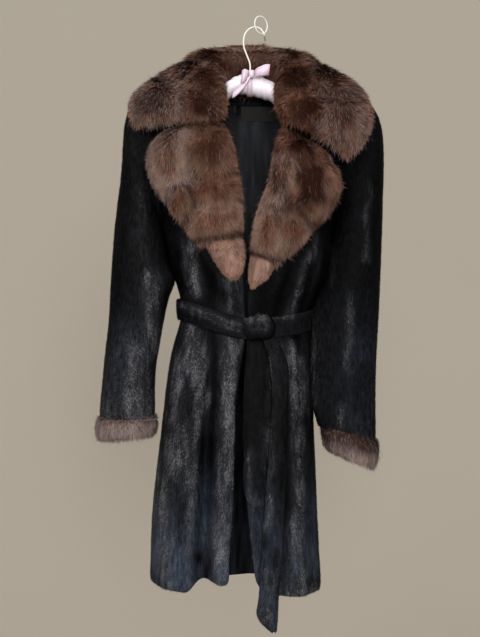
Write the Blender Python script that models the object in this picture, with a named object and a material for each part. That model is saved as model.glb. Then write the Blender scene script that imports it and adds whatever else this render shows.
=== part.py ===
"""A belted fur coat on a padded hanger, which hangs from a ring.

Sizes are in millimetres and become metres when a mesh is made. +Z is up, and the wearer faces -Y, so
the wearer's right is at -X. The origin is the highest point inside the hanging ring, where the ring
bears on whatever holds it. Cloth is a wall: each panel has an outer and an inner sheet of points.
"""

import math

import bpy
import numpy as np

MM = 0.001
SEAM_GAP = 0.3
PANEL_WALL = 6.0  # skin with its sheared pile, and the lining behind the fronts and sleeves
LINING_WALL = 1.0
FRONT, BACK = -1, 1


class Table:
    """Rows with named columns, read as smooth curves along the first column."""

    def __init__(self, columns, *rows):
        self.names = columns.split()
        self.columns = dict(zip(self.names, np.array(rows, float).T))

    def at(self, name, key):
        keys, values = self.columns[self.names[0]], self.columns[name]
        slopes = np.gradient(values, keys)
        key = np.clip(key, keys[0], keys[-1])
        i = np.clip(np.searchsorted(keys, key) - 1, 0, len(keys) - 2)
        span = keys[i + 1] - keys[i]
        t = (key - keys[i]) / span
        start = (1 + 2 * t) * (1 - t) ** 2 * values[i] + t * (1 - t) ** 2 * span * slopes[i]
        end = t * t * (3 - 2 * t) * values[i + 1] + t * t * (t - 1) * span * slopes[i + 1]
        return start + end


# ---- the body of the coat: plan sections, from the hem up ----

ROUNDNESS = 2.3  # exponent of the superellipse that each plan section follows
BODY = Table(
    "z centre_x half_width front_depth back_depth",
    (-1040, -47, 153, 84, 84),
    (-913, -47, 149, 82, 80),
    (-826, -45, 144, 80, 77),
    (-740, -41, 137, 77, 73),
    (-653, -37, 131, 73, 67),
    (-589, -32, 125, 68, 61),
    (-540, -26, 118, 61, 54),
    (-502, -22, 125, 66, 58),
    (-466, -19, 138, 72, 62),
    (-419, -22, 148, 76, 64),
    (-374, -23, 155, 78, 64),
    (-300, -22, 172, 77, 64),
    (-230, -21, 184, 74, 62),
    (-110, -20, 196, 64, 54),
)
SIDE_FADE = 1.6  # a fold keeps its full depth until the wall turns this steeply to a side seam
UNDERARM_Z = -374.0
SHOULDER_NECK_Z = -119.0
SHOULDER_SLOPE = 0.19
SHOULDER_RADIUS = 75.0  # how far down the shoulder rounds over the hanger
NECK_HALF_WIDTH = 62.0
BACK_NECK_HALF_WIDTH = 66.0
BACK_NECK_DROP = 21.0

ARMHOLE = Table(
    "z right_x left_x",
    (-374, -178, 132),
    (-300, -182, 139),
    (-240, -188, 145),
    (-180, -197, 155),
    (-142, -204, 164),
)
FRONT_EDGE = Table(
    "z right_x left_x",
    (-1040, -60, -5),
    (-974, -59, -13),
    (-877, -53, -22),
    (-740, -49, -30),
    (-650, -42, -27),
    (-576, -31, -23),
    (-495, -33, -21),
    (-440, -37, -12),
    (-392, -42, -9),
    (-330, -41, 3),
    (-288, -48, 19),
    (-238, -57, 31),
    (-190, -68, 42),
    (-119, -82, 42),
)
FRONT_HEM = Table(
    "x z",
    (-205, -1006),
    (-165, -1012),
    (-124, -1011),
    (-106, -992),
    (-86, -997),
    (-66, -1000),
    (-10, -999),
    (20, -1017),
    (60, -1023),
    (110, -1022),
)
BACK_HEM = Table("x z", (-205, -1006), (-120, -1013), (-40, -1016), (30, -1017), (110, -1022))
HEM_BLEND_Z = -870.0  # the hem's rise and fall has died out by this height

# Skirt and bodice rows, then the share of the armhole's height that is still above each upper row.
LOWER_ROWS = (-1016, -985, -950, -912, -870, -828, -785, -742, -700, -660, -624, -592, -564, -540,
              -516, -492, -466, -437, -406, UNDERARM_Z)
UPPER_SHARES = (0.83, 0.66, 0.48, 0.30, 0.15, 0.07, 0.018, 0.0)
UNDERARM_ROW = len(LOWER_ROWS) - 1
ROUND_ARM = 2 * len(UPPER_SHARES)
FRONT_COLUMNS = 15
BACK_COLUMNS = 25

# A positive depth is a trough and a negative one a ridge. Each fold runs from its low to its high end.
FOLD_COLUMNS = "z_low x_low depth_low z_high x_high depth_high width"
FRONT_FOLDS = (
    (-1040, -106, 34, -580, -86, 7, 11),
    (-1040, -164, -9, -600, -140, -2, 26),
    (-1040, -138, 9, -800, -158, 0, 12),
    (-1040, -82, -7, -620, -62, -3, 14),
    (-700, -120, 0, -560, -116, 6, 8),
    (-1040, 72, -8, -620, 56, -3, 18),
    (-1040, 93, 8, -700, 78, 3, 10),
    (-1040, 36, 6, -640, 40, 4, 11),
    (-640, 70, 0, -560, 64, 6, 7),
    (-484, -114, -4, -440, -132, -4, 9),
    (-530, -84, 6, -420, -112, 6, 8),
    (-484, -76, -4, -444, -94, -3, 8),
    (-530, -52, 5, -440, -76, 3, 7),
    (-484, 64, -4, -440, 78, -4, 8),
    (-530, 70, 6, -420, 99, 7, 9),
    (-484, 92, -3, -440, 104, -4, 8),
    (-530, 32, 5, -430, 58, 3, 9),
)
BACK_FOLDS = (
    (-1040, -150, 12, -600, -118, 4, 14),
    (-1040, -108, -9, -640, -90, -2, 20),
    (-1040, -64, 26, -570, -52, 7, 13),
    (-1040, -18, -8, -660, -20, -3, 18),
    (-1040, 22, 18, -590, 4, 6, 12),
    (-1040, 66, 22, -575, 44, 6, 14),
    (-1040, 84, -5, -700, 66, -2, 14),
    (-520, -96, 6, -420, -120, 3, 9),
    (-520, -58, 6, -400, -70, 3, 8),
    (-520, 6, 5, -430, 12, 2, 8),
    (-520, 44, 6, -410, 66, 4, 9),
)
FOLD_FADE = 22.0  # a fold dies out over this height past its ends


def fold_depth(folds, x, z):
    """How far the folds take the wall in at a place."""
    depth = np.zeros(np.broadcast(x, z).shape)
    for row in folds:
        fold = dict(zip(FOLD_COLUMNS.split(), row))
        share = (z - fold["z_low"]) / (fold["z_high"] - fold["z_low"])
        along = np.clip(share, 0, 1)
        middle = fold["x_low"] + along * (fold["x_high"] - fold["x_low"])
        deep = fold["depth_low"] + along * (fold["depth_high"] - fold["depth_low"])
        past = np.maximum(fold["z_low"] - z, z - fold["z_high"]).clip(0, FOLD_FADE) / FOLD_FADE
        deep = deep * np.cos(past * math.pi / 2) ** 2
        depth = depth + deep * np.exp(-(((x - middle) / fold["width"]) ** 2))
    return depth


def shoulder_z(x):
    """The height of the shoulder seam, level across the neck and sloping down past it."""
    past_neck = abs(x - BODY.at("centre_x", SHOULDER_NECK_Z)) - NECK_HALF_WIDTH
    return SHOULDER_NECK_Z - SHOULDER_SLOPE * np.maximum(past_neck, 0)


def plan_angle(x, z):
    """The angle round the plan section, 0 at the centre and a quarter turn at a side seam."""
    across = np.clip((x - BODY.at("centre_x", z)) / BODY.at("half_width", z), -1, 1)
    return np.sign(across) * np.arcsin(abs(across) ** (ROUNDNESS / 2))


def body_points(side, angle, z, moved_in=0.0, folds=()):
    """Points of the front or back of the body, moved in from the outer surface by a distance."""
    across = np.sign(angle) * abs(np.sin(angle)) ** (2 / ROUNDNESS)
    along = abs(np.cos(angle)) ** (2 / ROUNDNESS)
    half_width = BODY.at("half_width", z)
    depth = BODY.at("front_depth" if side == FRONT else "back_depth", z)
    x = BODY.at("centre_x", z) + half_width * across
    over = np.clip(1 - (shoulder_z(x) - z) / SHOULDER_RADIUS, 0, 1)
    down = np.sqrt(1 - over**2)
    normal_x = np.sign(across) * abs(across) ** (ROUNDNESS - 1) / half_width
    normal_y = along ** (ROUNDNESS - 1) / depth
    size = np.hypot(normal_x, normal_y)
    normal_x, normal_y = normal_x / size, normal_y / size
    taken_in = fold_depth(folds, x, z) * np.minimum(along * SIDE_FADE, 1) * down
    y = SEAM_GAP / 2 + depth * along * down - taken_in - moved_in * normal_y * down
    return np.stack([x - moved_in * normal_x, side * y, z - moved_in * normal_y * over], -1)


def panel_grid(side, edge_a, edge_b, columns, hem):
    """Angles and heights of a panel's points: rows from the hem up, columns between its two edges.

    An edge gives x at a height, and the height of its own top.
    """
    shares = np.linspace(0, 1, columns)
    angles, heights = [], []
    for level in list(LOWER_ROWS) + list(UPPER_SHARES):
        upper = level > -1
        ends_z = [top + level * (UNDERARM_Z - top) if upper else level for _, top in (edge_a, edge_b)]
        ends = [plan_angle(edge(z), z) for (edge, _), z in zip((edge_a, edge_b), ends_z)]
        angle = ends[0] + shares * (ends[1] - ends[0])
        z = np.full(columns, float(level))
        if upper:
            z = ends_z[0] + shares * (ends_z[1] - ends_z[0])
        elif level < HEM_BLEND_Z:
            x = body_points(side, angle, z)[:, 0]
            z += (hem.at("z", x) - LOWER_ROWS[0]) * (level - HEM_BLEND_Z) / (LOWER_ROWS[0] - HEM_BLEND_Z)
        angles.append(angle)
        heights.append(z)
    return np.array(angles), np.array(heights)


def outer_edge(name):
    """The side seam up to the underarm, and the armhole above it."""
    sign = 1 if name == "left_x" else -1

    def edge(z):
        side_seam = BODY.at("centre_x", z) + sign * BODY.at("half_width", z)
        return np.where(z <= UNDERARM_Z, side_seam, ARMHOLE.at(name, z))

    return edge, float(shoulder_z(ARMHOLE.columns[name][-1]))


def front_edge(name):
    return lambda z: FRONT_EDGE.at(name, z), SHOULDER_NECK_Z


def front_grid(name):
    return panel_grid(FRONT, outer_edge(name), front_edge(name), FRONT_COLUMNS, FRONT_HEM)


def back_grid():
    """The back's points, with the neckline let down between the shoulder seams."""
    angle, z = panel_grid(BACK, outer_edge("right_x"), outer_edge("left_x"), BACK_COLUMNS, BACK_HEM)
    share = np.array([1.0] + list(UPPER_SHARES))[:, None]
    x = body_points(BACK, angle, z)[-1, :, 0]
    across = np.clip(abs(x - BODY.at("centre_x", SHOULDER_NECK_Z)) / BACK_NECK_HALF_WIDTH, 0, 1)
    top = shoulder_z(x) - BACK_NECK_DROP * (1 - across**2)
    z[UNDERARM_ROW:] = top + share * (UNDERARM_Z - top)
    return angle, z


# ---- meshes ----


def material(name, colour, roughness, metallic=0.0):
    made = bpy.data.materials.get(name)
    if made is None:
        made = bpy.data.materials.new(name)
        made.use_nodes = True
        shader = made.node_tree.nodes["Principled BSDF"]
        shader.inputs["Base Color"].default_value = (*colour, 1)
        shader.inputs["Roughness"].default_value = roughness
        shader.inputs["Metallic"].default_value = metallic
    return made


FINISHES = {
    "sheared_fur": ((0.012, 0.012, 0.015), 0.45),
    "long_fur": ((0.12, 0.062, 0.038), 0.6),
    "tip_fur": ((0.30, 0.18, 0.125), 0.6),
    "cuff_fur": ((0.17, 0.12, 0.11), 0.6),
    "satin_lining": ((0.012, 0.014, 0.022), 0.35),
    "woven_label": ((0.01, 0.01, 0.01), 0.6),
    "pink_satin": ((0.85, 0.70, 0.78), 0.4),
    "coated_wire": ((0.82, 0.80, 0.72), 0.35),
}

SHARP_ANGLE = math.radians(50)


def solid(name, points, faces, finish):
    """A named object from points in millimetres, with its faces turned outwards."""
    mesh = bpy.data.meshes.new(name)
    mesh.from_pydata((np.asarray(points, float) * MM).tolist(), [], faces)
    a, b, c = (np.array([points[face[i]] for face in faces]) for i in (0, 1, 2))
    d = np.array([points[face[-1]] for face in faces])
    volume = (np.cross(b, c) * a).sum() + (np.cross(c, d) * a).sum()
    if volume < 0:
        mesh.flip_normals()
    mesh.shade_smooth()
    mesh.set_sharp_from_angle(angle=SHARP_ANGLE)
    mesh.materials.append(material(finish, *FINISHES[finish]))
    made = bpy.data.objects.new(name, mesh)
    bpy.context.scene.collection.objects.link(made)
    return made


def sheet_faces(rows, columns, start, closed):
    """Quads over a grid of points, whose rows may close on themselves."""
    last = columns if closed else columns - 1
    return [
        (
            start + r * columns + c,
            start + r * columns + (c + 1) % columns,
            start + (r + 1) * columns + (c + 1) % columns,
            start + (r + 1) * columns + c,
        )
        for r in range(rows - 1)
        for c in range(last)
    ]


def end_faces(points, a, b, count, turn):
    """A wall's end between its sheets, split at the shorter diagonal, so that two such ends can meet."""
    corners = (a, b, b + count, a + count)
    falling, rising = (np.linalg.norm(points[corners[i]] - points[corners[i + 2]]) for i in (0, 1))
    halves = ((0, 1, 2), (0, 2, 3)) if falling <= rising else ((0, 1, 3), (1, 2, 3))
    return [tuple(corners[i] for i in half)[::turn] for half in halves]


def wall(name, outer, inner, finish, closed=False):
    """A closed solid between two sheets of points, open at both ends where its rows are rings."""
    rows, columns = outer.shape[:2]
    count = rows * columns
    faces = sheet_faces(rows, columns, 0, closed)
    faces += [face[:1] + face[:0:-1] for face in sheet_faces(rows, columns, count, closed)]
    points = np.concatenate([outer.reshape(-1, 3), inner.reshape(-1, 3)])
    for row, turn in ((0, -1), (rows - 1, 1)):
        for c in range(columns if closed else columns - 1):
            a, b = row * columns + c, row * columns + (c + 1) % columns
            faces += end_faces(points, a, b, count, turn)
    if not closed:
        for column, turn in ((0, 1), (columns - 1, -1)):
            for r in range(rows - 1):
                a, b = r * columns + column, (r + 1) * columns + column
                faces += end_faces(points, a, b, count, turn)
    return solid(name, points, faces, finish)


def lump(name, rings, finish):
    """A closed solid through rings of points, with a cap at each end."""
    rows, columns = rings.shape[:2]
    faces = sheet_faces(rows, columns, 0, True)
    faces.append(tuple(range(columns))[::-1])
    faces.append(tuple(range((rows - 1) * columns, rows * columns)))
    return solid(name, rings.reshape(-1, 3), faces, finish)


def wire(name, path, radius, finish, sides=8, closed=False):
    """A round wire along a path that stays in one upright plane, which may be a loop."""
    steps = len(path)
    ahead = np.roll(path, -1, 0) - np.roll(path, 1, 0)
    if not closed:
        ahead = np.gradient(path, axis=0)
    ahead /= np.linalg.norm(ahead, axis=1)[:, None]
    plane_normal = np.cross(path[steps // 3] - path[0], path[2 * steps // 3] - path[0])
    plane_normal /= np.linalg.norm(plane_normal)
    side = np.cross(ahead, plane_normal)
    turns = np.arange(sides) * 2 * math.pi / sides
    rings = path[:, None] + radius * (
        np.cos(turns)[None, :, None] * plane_normal + np.sin(turns)[None, :, None] * side[:, None]
    )
    if not closed:
        return lump(name, rings, finish)
    rings = np.concatenate([rings, rings[:1]])
    count = steps * sides
    faces = [tuple(i % count for i in face) for face in sheet_faces(steps + 1, sides, 0, True)]
    return solid(name, rings[:-1].reshape(-1, 3), faces, finish)


def through(points, count):
    """Points spaced evenly along a smooth curve through a few given ones."""
    points = np.array(points, float)
    along = np.concatenate([[0], np.cumsum(np.linalg.norm(np.diff(points, axis=0), axis=1))])
    curve = Table("s x y z", *np.column_stack([along, points]))
    at = np.linspace(0, along[-1], count)
    return np.stack([curve.at(axis, at) for axis in "xyz"], -1)


# ---- panels ----


def sheet_points(side, name, moved_in):
    """A panel's points, moved in from its outer surface."""
    angle, z = back_grid() if side == BACK else front_grid(name)
    return body_points(side, angle, z, moved_in, BACK_FOLDS if side == BACK else FRONT_FOLDS)


def armhole(name):
    """The armhole's outer and inner loops, from the shoulder tip down the front and up the back."""
    front = sheet_points(FRONT, name, 0)[UNDERARM_ROW:, 0]
    back = sheet_points(BACK, name, 0)[UNDERARM_ROW:, -1 if name == "left_x" else 0]
    outer = np.concatenate([front[::-1], back[1:-1]])
    outer[[0, len(UPPER_SHARES)], 1] = 0
    ahead = np.roll(outer, -1, 0) - np.roll(outer, 1, 0)
    inward = np.cross(ahead, (1, 0, 0))
    inward *= np.sign((inward * (outer.mean(0) - outer)).sum(1))[:, None]
    return outer, outer + PANEL_WALL * inward / np.linalg.norm(inward, axis=1)[:, None]


def inner_sheet(side, name):
    """A panel's inner points, turned into the armhole where the sleeve is sewn on."""
    points = sheet_points(side, name, PANEL_WALL)
    for hole in ("right_x", "left_x") if side == BACK else (name,):
        loop = armhole(hole)[1]
        loop = np.concatenate([loop, loop[:1]])
        half = len(UPPER_SHARES)
        run = loop[half:] if side == BACK else loop[half::-1]
        run[[0, -1], 1] = side * SEAM_GAP / 2
        points[UNDERARM_ROW:, -1 if side == BACK and hole == "left_x" else 0] = run
    return points


def build_panels():
    for node, side, name in (
        ("front_right", FRONT, "right_x"),
        ("front_left", FRONT, "left_x"),
        ("back", BACK, None),
    ):
        wall(node, sheet_points(side, name, 0), inner_sheet(side, name), "sheared_fur")


LINING_COLUMNS = slice(8, 17)  # the middle of the back, which shows through the open fronts
LINING_TOP = -143.0
LINING_CLEAR = 2.7


def build_lining():
    """The back's own points, moved in, with the top row let down to just below the neck seam."""
    angle, z = (grid[:, LINING_COLUMNS] for grid in back_grid())
    let_down = (LINING_TOP - UNDERARM_Z) / (np.maximum(z[-1], LINING_TOP) - UNDERARM_Z)
    z[UNDERARM_ROW:] = UNDERARM_Z + (z[UNDERARM_ROW:] - UNDERARM_Z) * let_down
    clear = PANEL_WALL + LINING_CLEAR
    sheets = [body_points(BACK, angle, z, clear + more, BACK_FOLDS) for more in (0, LINING_WALL)]
    wall("back_lining", *sheets, "satin_lining")


LABEL = {"x": (-36.0, 38.0), "z": (-177.0, -148.0)}
SIZE_TAB = {"x": (-50.0, -45.0), "z": (-160.0, -146.0)}
LABEL_WALL = 0.6
LABEL_CLEAR = 0.9


def build_label(node, place, steps):
    """A flat label on the lining below the back neck."""
    x, z = np.meshgrid(np.linspace(*place["x"], steps), np.array(place["z"]))
    clear = PANEL_WALL + LINING_CLEAR + LINING_WALL + LABEL_CLEAR
    angle = plan_angle(x, z)
    wall(
        node,
        body_points(BACK, angle, z, clear),
        body_points(BACK, angle, z, clear + LABEL_WALL),
        "woven_label",
    )


# ---- sleeves and cuffs ----

SLEEVE_COLUMNS = "outer_x outer_z inner_x inner_z half_depth middle_y"
RIGHT_SLEEVE = (
    (-225, -146, -180.5, -380, 43, 0),
    (-241, -172, -179.5, -389, 47, -1),
    (-248, -218, -178.0, -400, 49, -2),
    (-250, -265, -175.5, -413, 50, -3),
    (-254, -308, -172.5, -427, 50, -4),
    (-259, -351, -169.0, -442, 50, -5),
    (-263, -397, -164.0, -458, 50, -6),
    (-266, -440, -160.0, -476, 50, -7),
    (-269, -484, -161.0, -496, 50, -8),
    (-273, -536, -171.0, -536, 49, -10),
    (-279, -589, -180.0, -589, 48, -12),
    (-283, -632, -187.0, -632, 47, -14),
    (-286, -675, -189.0, -675, 46, -16),
    (-288, -717, -189.0, -715, 45, -18),
)
LEFT_SLEEVE = (
    (185, -147, 134.5, -380, 43, 0),
    (206, -168, 134.0, -389, 47, -1),
    (218, -205, 132.5, -400, 49, -2),
    (220, -255, 130.5, -413, 50, -3),
    (219, -308, 128.0, -427, 50, -4),
    (217, -360, 125.0, -442, 50, -5),
    (215, -401, 122.5, -458, 50, -6),
    (214, -440, 119.0, -476, 50, -7),
    (213, -484, 112.0, -496, 50, -8),
    (211, -536, 104.5, -536, 49, -10),
    (208, -589, 102.0, -589, 48, -12),
    (206, -640, 101.5, -636, 47, -14),
    (205, -695, 103.0, -680, 46, -16),
    (205, -756, 107.0, -727, 45, -18),
)
SLEEVE_WALL = 5.0
SLEEVE_ROUNDNESS = 2.2
CUFF_WALL = 13.0
RIGHT_CUFF = (
    (-289.5, -717.4, -187.5, -715.4, 47, -18),
    (-294.0, -725, -185.0, -722, 52, -18),
    (-295.5, -738, -185.0, -732, 53, -18),
    (-294.0, -750, -187.0, -742, 52, -18),
    (-289.0, -757, -191.0, -749, 48, -18),
)
LEFT_CUFF = (
    (206.5, -756.9, 105.5, -727.0, 47, -18),
    (209.0, -767, 106.5, -737, 52, -18),
    (209.0, -782, 108.5, -752, 53, -18),
    (206.5, -798, 111.5, -766, 52, -18),
    (200.5, -808, 117.0, -774, 48, -18),
)


def arm_rings(rows, moved_in):
    """Rings of a sleeve or cuff, from the outer point round the front to the inner point and back."""
    turns = np.arange(ROUND_ARM) * 2 * math.pi / ROUND_ARM
    across = np.sign(np.cos(turns)) * abs(np.cos(turns)) ** (2 / SLEEVE_ROUNDNESS)
    along = np.sign(np.sin(turns)) * abs(np.sin(turns)) ** (2 / SLEEVE_ROUNDNESS)
    rings = []
    for row in rows:
        ring = dict(zip(SLEEVE_COLUMNS.split(), row))
        outer = np.array([ring["outer_x"], ring["middle_y"], ring["outer_z"]])
        inner = np.array([ring["inner_x"], ring["middle_y"], ring["inner_z"]])
        reach = (outer - inner) / 2
        reach *= 1 - moved_in / np.linalg.norm(reach)
        points = (outer + inner) / 2 + across[:, None] * reach
        points[:, 1] -= (ring["half_depth"] - moved_in) * along
        rings.append(points)
    return np.array(rings)


def build_sleeve(node, name, rows):
    shift = (SEAM_GAP if name == "left_x" else -SEAM_GAP, 0, 0)
    sheets = [
        np.concatenate([(loop + shift)[None], arm_rings(rows, moved_in)])
        for loop, moved_in in zip(armhole(name), (0, SLEEVE_WALL))
    ]
    wall(node, *sheets, "sheared_fur", closed=True)


def build_cuff(node, rows):
    wall(node, arm_rings(rows, 0), arm_rings(rows, CUFF_WALL), "cuff_fur", closed=True)


# ---- collar, lapels and their tips ----

# The collar's sections, from the right wing's end round the back neck to the left wing's end: the neck
# seam, the crest that it turns over at, and its outer edge.
COLLAR_COLUMNS = "seam_x seam_y seam_z crest_x crest_y crest_z edge_x edge_y edge_z thick"
COLLAR_SECTIONS = (
    (-66, -84, -197, -104, -91, -198, -214, -64, -205, 9),
    (-64, -82, -187, -104, -94, -187, -226, -66, -194, 30),
    (-62, -76, -168, -102, -88, -168, -231, -60, -176, 36),
    (-64, -62, -146, -100, -74, -144, -228, -42, -156, 36),
    (-68, -40, -126, -98, -46, -112, -218, -14, -140, 34),
    (-80, -6, -113, -94, -8, -84, -198, 34, -136, 34),
    (-66, 27, -127.8, -84, 30, -64, -152, 82, -150, 34),
    (-46, 34, -135.2, -58, 48, -53, -90, 102, -168, 34),
    (-20, 37, -138.2, -22, 54, -51, -22, 108, -174, 34),
    (6, 34, -135.2, 12, 48, -53, 50, 102, -168, 34),
    (26, 27, -127.8, 40, 30, -64, 110, 82, -150, 34),
    (40, -6, -113, 54, -8, -84, 156, 34, -134, 34),
    (28, -40, -126, 58, -46, -112, 176, -14, -136, 34),
    (24, -62, -146, 60, -74, -144, 187, -44, -158, 36),
    (24, -78, -168, 62, -90, -170, 191, -62, -188, 36),
    (28, -84, -184, 66, -96, -190, 186, -68, -218, 36),
    (34, -86, -194, 70, -97, -203, 168, -72, -247, 30),
    (38, -86, -200, 74, -92, -213, 148, -72, -261, 9),
)
COLLAR_UNDERSIDE = 0.45  # the share of the top's puff that the underside has
COLLAR_EDGE = 0.12  # the share of the full thickness that its edges have
COLLAR_STEPS = 31
COLLAR_ACROSS = 10
COLLAR_GROOVE = {"at": 0.58, "width": 0.08, "depth": 0.3}  # between the inner and outer pelts


def pad_profile(share, at_edge, power=2.6):
    """The thickness of a plump strip across it, from a share at both edges to 1 between them."""
    return at_edge + (1 - at_edge) * (1 - abs(2 * share - 1) ** power) ** (1 / power)


def build_collar():
    columns = np.array(COLLAR_SECTIONS, float)
    along = np.linspace(0, len(columns) - 1, COLLAR_STEPS)
    sections = Table("k " + COLLAR_COLUMNS, *np.column_stack([np.arange(len(columns)), columns]))
    at = {name: sections.at(name, along) for name in COLLAR_COLUMNS.split()}
    seam, crest, edge = (
        np.stack([at[f"{line}_{axis}"] for axis in "xyz"], -1) for line in ("seam", "crest", "edge")
    )
    share = np.linspace(0, 1, COLLAR_ACROSS)
    middle = np.stack([through(points, COLLAR_ACROSS) for points in np.stack([seam, crest, edge], 1)])
    across, onward = np.gradient(middle, axis=1), np.gradient(middle, axis=0)
    normal = np.cross(onward, across)
    normal /= np.linalg.norm(normal, axis=-1)[..., None]
    from_groove = (share - COLLAR_GROOVE["at"]) / COLLAR_GROOVE["width"]
    profile = pad_profile(share, COLLAR_EDGE) * (1 - COLLAR_GROOVE["depth"] * np.exp(-(from_groove**2)))
    reach = (at["thick"][:, None] * profile / 2)[..., None] * normal
    wall("upper_collar", middle + reach, middle - COLLAR_UNDERSIDE * reach, "long_fur")


LAPEL_COLUMNS = "s inner_x inner_z outer_x outer_z thick lift"
RIGHT_LAPEL = Table(
    LAPEL_COLUMNS,
    (0, -67, -203, -148, -207, 8, 3),
    (1, -62, -213, -170, -216, 20, 6),
    (2, -54, -232, -183, -236, 28, 10),
    (3, -48, -256, -187, -262, 27, 12),
    (4, -43, -285, -184, -292, 17, 11),
    (5, -39, -310, -171, -316, 24, 8),
    (6, -36, -332, -160, -338, 19, 5),
    (7, -35, -354, -144, -362, 24, 3),
    (8, -35, -376, -129, -386, 22, 2),
    (9, -35, -394, -114, -404, 15, 1),
    (10, -35, -402, -104, -414, 8, 0),
)
LEFT_LAPEL = Table(
    LAPEL_COLUMNS,
    (0, 39, -206, 100, -250, 8, 3),
    (1, 32, -218, 115, -262, 21, 5),
    (2, 26, -238, 126, -280, 28, 6),
    (3, 19, -264, 130, -303, 27, 6),
    (4, 16, -291, 125, -330, 20, 4),
    (5, 10, -316, 109, -358, 26, 3),
    (6, -2, -340, 90, -379, 22, 2),
    (7, -8, -364, 72, -401, 24, 2),
    (8, -13, -390, 52, -424, 22, 1),
    (9, -16, -412, 34, -441, 15, 0),
    (10, -16, -424, 22, -449, 8, 0),
)
RIGHT_TIP = Table(
    LAPEL_COLUMNS,
    (0, -34, -404, -93, -412, 8, 0),
    (1, -30, -416, -90, -424, 15, 0),
    (2, -29, -436, -82, -440, 18, 0),
    (3, -31, -454, -72, -456, 16, 0),
    (4, -38, -468, -62, -468, 11, 0),
    (5, -45, -474, -54, -474, 6, 0),
)
LEFT_TIP = Table(
    LAPEL_COLUMNS,
    (0, -16.3, -425, 20.5, -449.6, 8, 0),
    (1, -19, -438, 17, -458, 13, 0),
    (2, -22, -455, 12, -466, 14, 0),
    (3, -23, -469, 4, -475, 12, 0),
    (4, -21, -480, -7, -482, 8, 0),
    (5, -19, -488, -12, -488, 5, 0),
)
SEAM_ARCH = 8.0  # how far the seam above a tip arches up at its middle
LAPEL_CLEAR = 1.0  # the panel's flat faces stay inside its curve by less than this
LAPEL_EDGE = 0.16  # the share of the full thickness that its edges have


def build_lapel(node, table, steps, across, finish, arch_start, arch_end):
    """A padded fur facing that lies on a front: its underside is the front's surface, moved out."""
    rows = np.linspace(0, table.columns["s"][-1], steps)[:, None]
    share = np.linspace(0, 1, across)
    x = table.at("inner_x", rows) * (1 - share) + table.at("outer_x", rows) * share
    z = table.at("inner_z", rows) * (1 - share) + table.at("outer_z", rows) * share
    down = rows / rows[-1]
    arch = arch_start * (1 - down) + arch_end * down**6
    z = z + arch * 4 * share * (1 - share)
    angle = plan_angle(x, z)
    clear = LAPEL_CLEAR + table.at("lift", rows) * share**2
    thick = table.at("thick", rows) * pad_profile(share, LAPEL_EDGE)
    sheets = [body_points(FRONT, angle, z, -clear - more) for more in (thick, 0)]
    wall(node, *sheets, finish)


# ---- belt ----

BELT = {"width": 34.0, "thick": 6.0, "edge": 0.6, "clear": 1.4, "rows": 4, "columns": 44}
BELT_LINE = Table(
    "turn z",
    (-180, -532),
    (-90, -526),
    (-60, -530),
    (-25, -546),
    (0, -560),
    (30, -556),
    (60, -548),
    (90, -540),
    (180, -532),
)


def build_belt():
    """The band round the waist, its turn measured from the centre front towards the wearer's left."""
    turns = np.linspace(-180, 180, BELT["columns"], endpoint=False)
    rise = np.linspace(-0.5, 0.5, BELT["rows"])[:, None]
    z = BELT_LINE.at("z", turns) + rise * BELT["width"]
    radians = np.radians(turns)
    at_front = abs(turns) < 90
    angle = np.broadcast_to(np.where(at_front, radians, np.sign(radians) * math.pi - radians), z.shape)

    def ring(moved_out):
        front, back = (body_points(side, angle, z, -moved_out) for side in (FRONT, BACK))
        return np.where(at_front[None, :, None], front, back)

    plump = BELT["thick"] * pad_profile(rise + 0.5, BELT["edge"])
    wall("belt", ring(BELT["clear"] + plump), ring(BELT["clear"]), "sheared_fur", closed=True)


KNOT_SECTIONS = Table(
    "x z half_height half_depth",
    (-28, -560, 9, 8),
    (-23, -560, 17, 14),
    (-10, -557, 22, 19),
    (4, -556, 22, 20),
    (15, -558, 18, 16),
    (21, -560, 9, 8),
)
KNOT_Z = -558.0
KNOT_BACK_CLEAR = 1.0  # between the belt and the knot
KNOT_STAND = 18.0  # from the knot's flat back to its middle


def roll_rings(sections, middle_y, steps, count, roundness):
    """Upright rings along X for a plump roll, from sections with x, z, half_height and half_depth."""
    x = np.linspace(*sections.columns["x"][[0, -1]], steps)[:, None]
    turns = (np.arange(count) + 0.5) * 2 * math.pi / count
    out, up = (np.sign(way) * abs(way) ** (2 / roundness) for way in (np.cos(turns), np.sin(turns)))
    y = middle_y + sections.at("half_depth", x) * out
    z = sections.at("z", x) + sections.at("half_height", x) * up
    return np.stack(np.broadcast_arrays(x, y, z), -1)


def build_knot():
    x = KNOT_SECTIONS.columns["x"]
    front = body_points(FRONT, plan_angle(x, KNOT_Z), np.full(len(x), KNOT_Z))[:, 1]
    back_y = front.min() - BELT["clear"] - BELT["thick"] - KNOT_BACK_CLEAR
    rings = roll_rings(KNOT_SECTIONS, back_y - KNOT_STAND, 9, 12, 2.6)
    rings[..., 1] = np.minimum(rings[..., 1], back_y)
    lump("belt_knot", rings, "sheared_fur")


BELT_END_COLUMNS = "z left_x right_x"
LONG_END = Table(
    BELT_END_COLUMNS,
    (-1079, 13, 25),
    (-1066, -2, 26),
    (-1020, -4, 28),
    (-957, -1, 33),
    (-916, 2, 35),
    (-854, 7, 39),
    (-778, 12, 41),
    (-693, 18, 44),
    (-617, 13, 43),
    (-600, 9, 37),
    (-577, 1, 23),
)
SHORT_END = Table(
    BELT_END_COLUMNS,
    (-862, -22, 4),
    (-845, -28, 2),
    (-778, -30, 9),
    (-693, -31, 15),
    (-617, -27, 9),
    (-600, -26, 5),
    (-580, -22, -3),
)
BELT_END_WALL = 7.0
BELT_END_CLEAR = 9.0
BELT_END_EDGE = 0.5
BELT_END_LEVEL = -1000.0  # below this the end hangs straight down, past the hem


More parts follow.
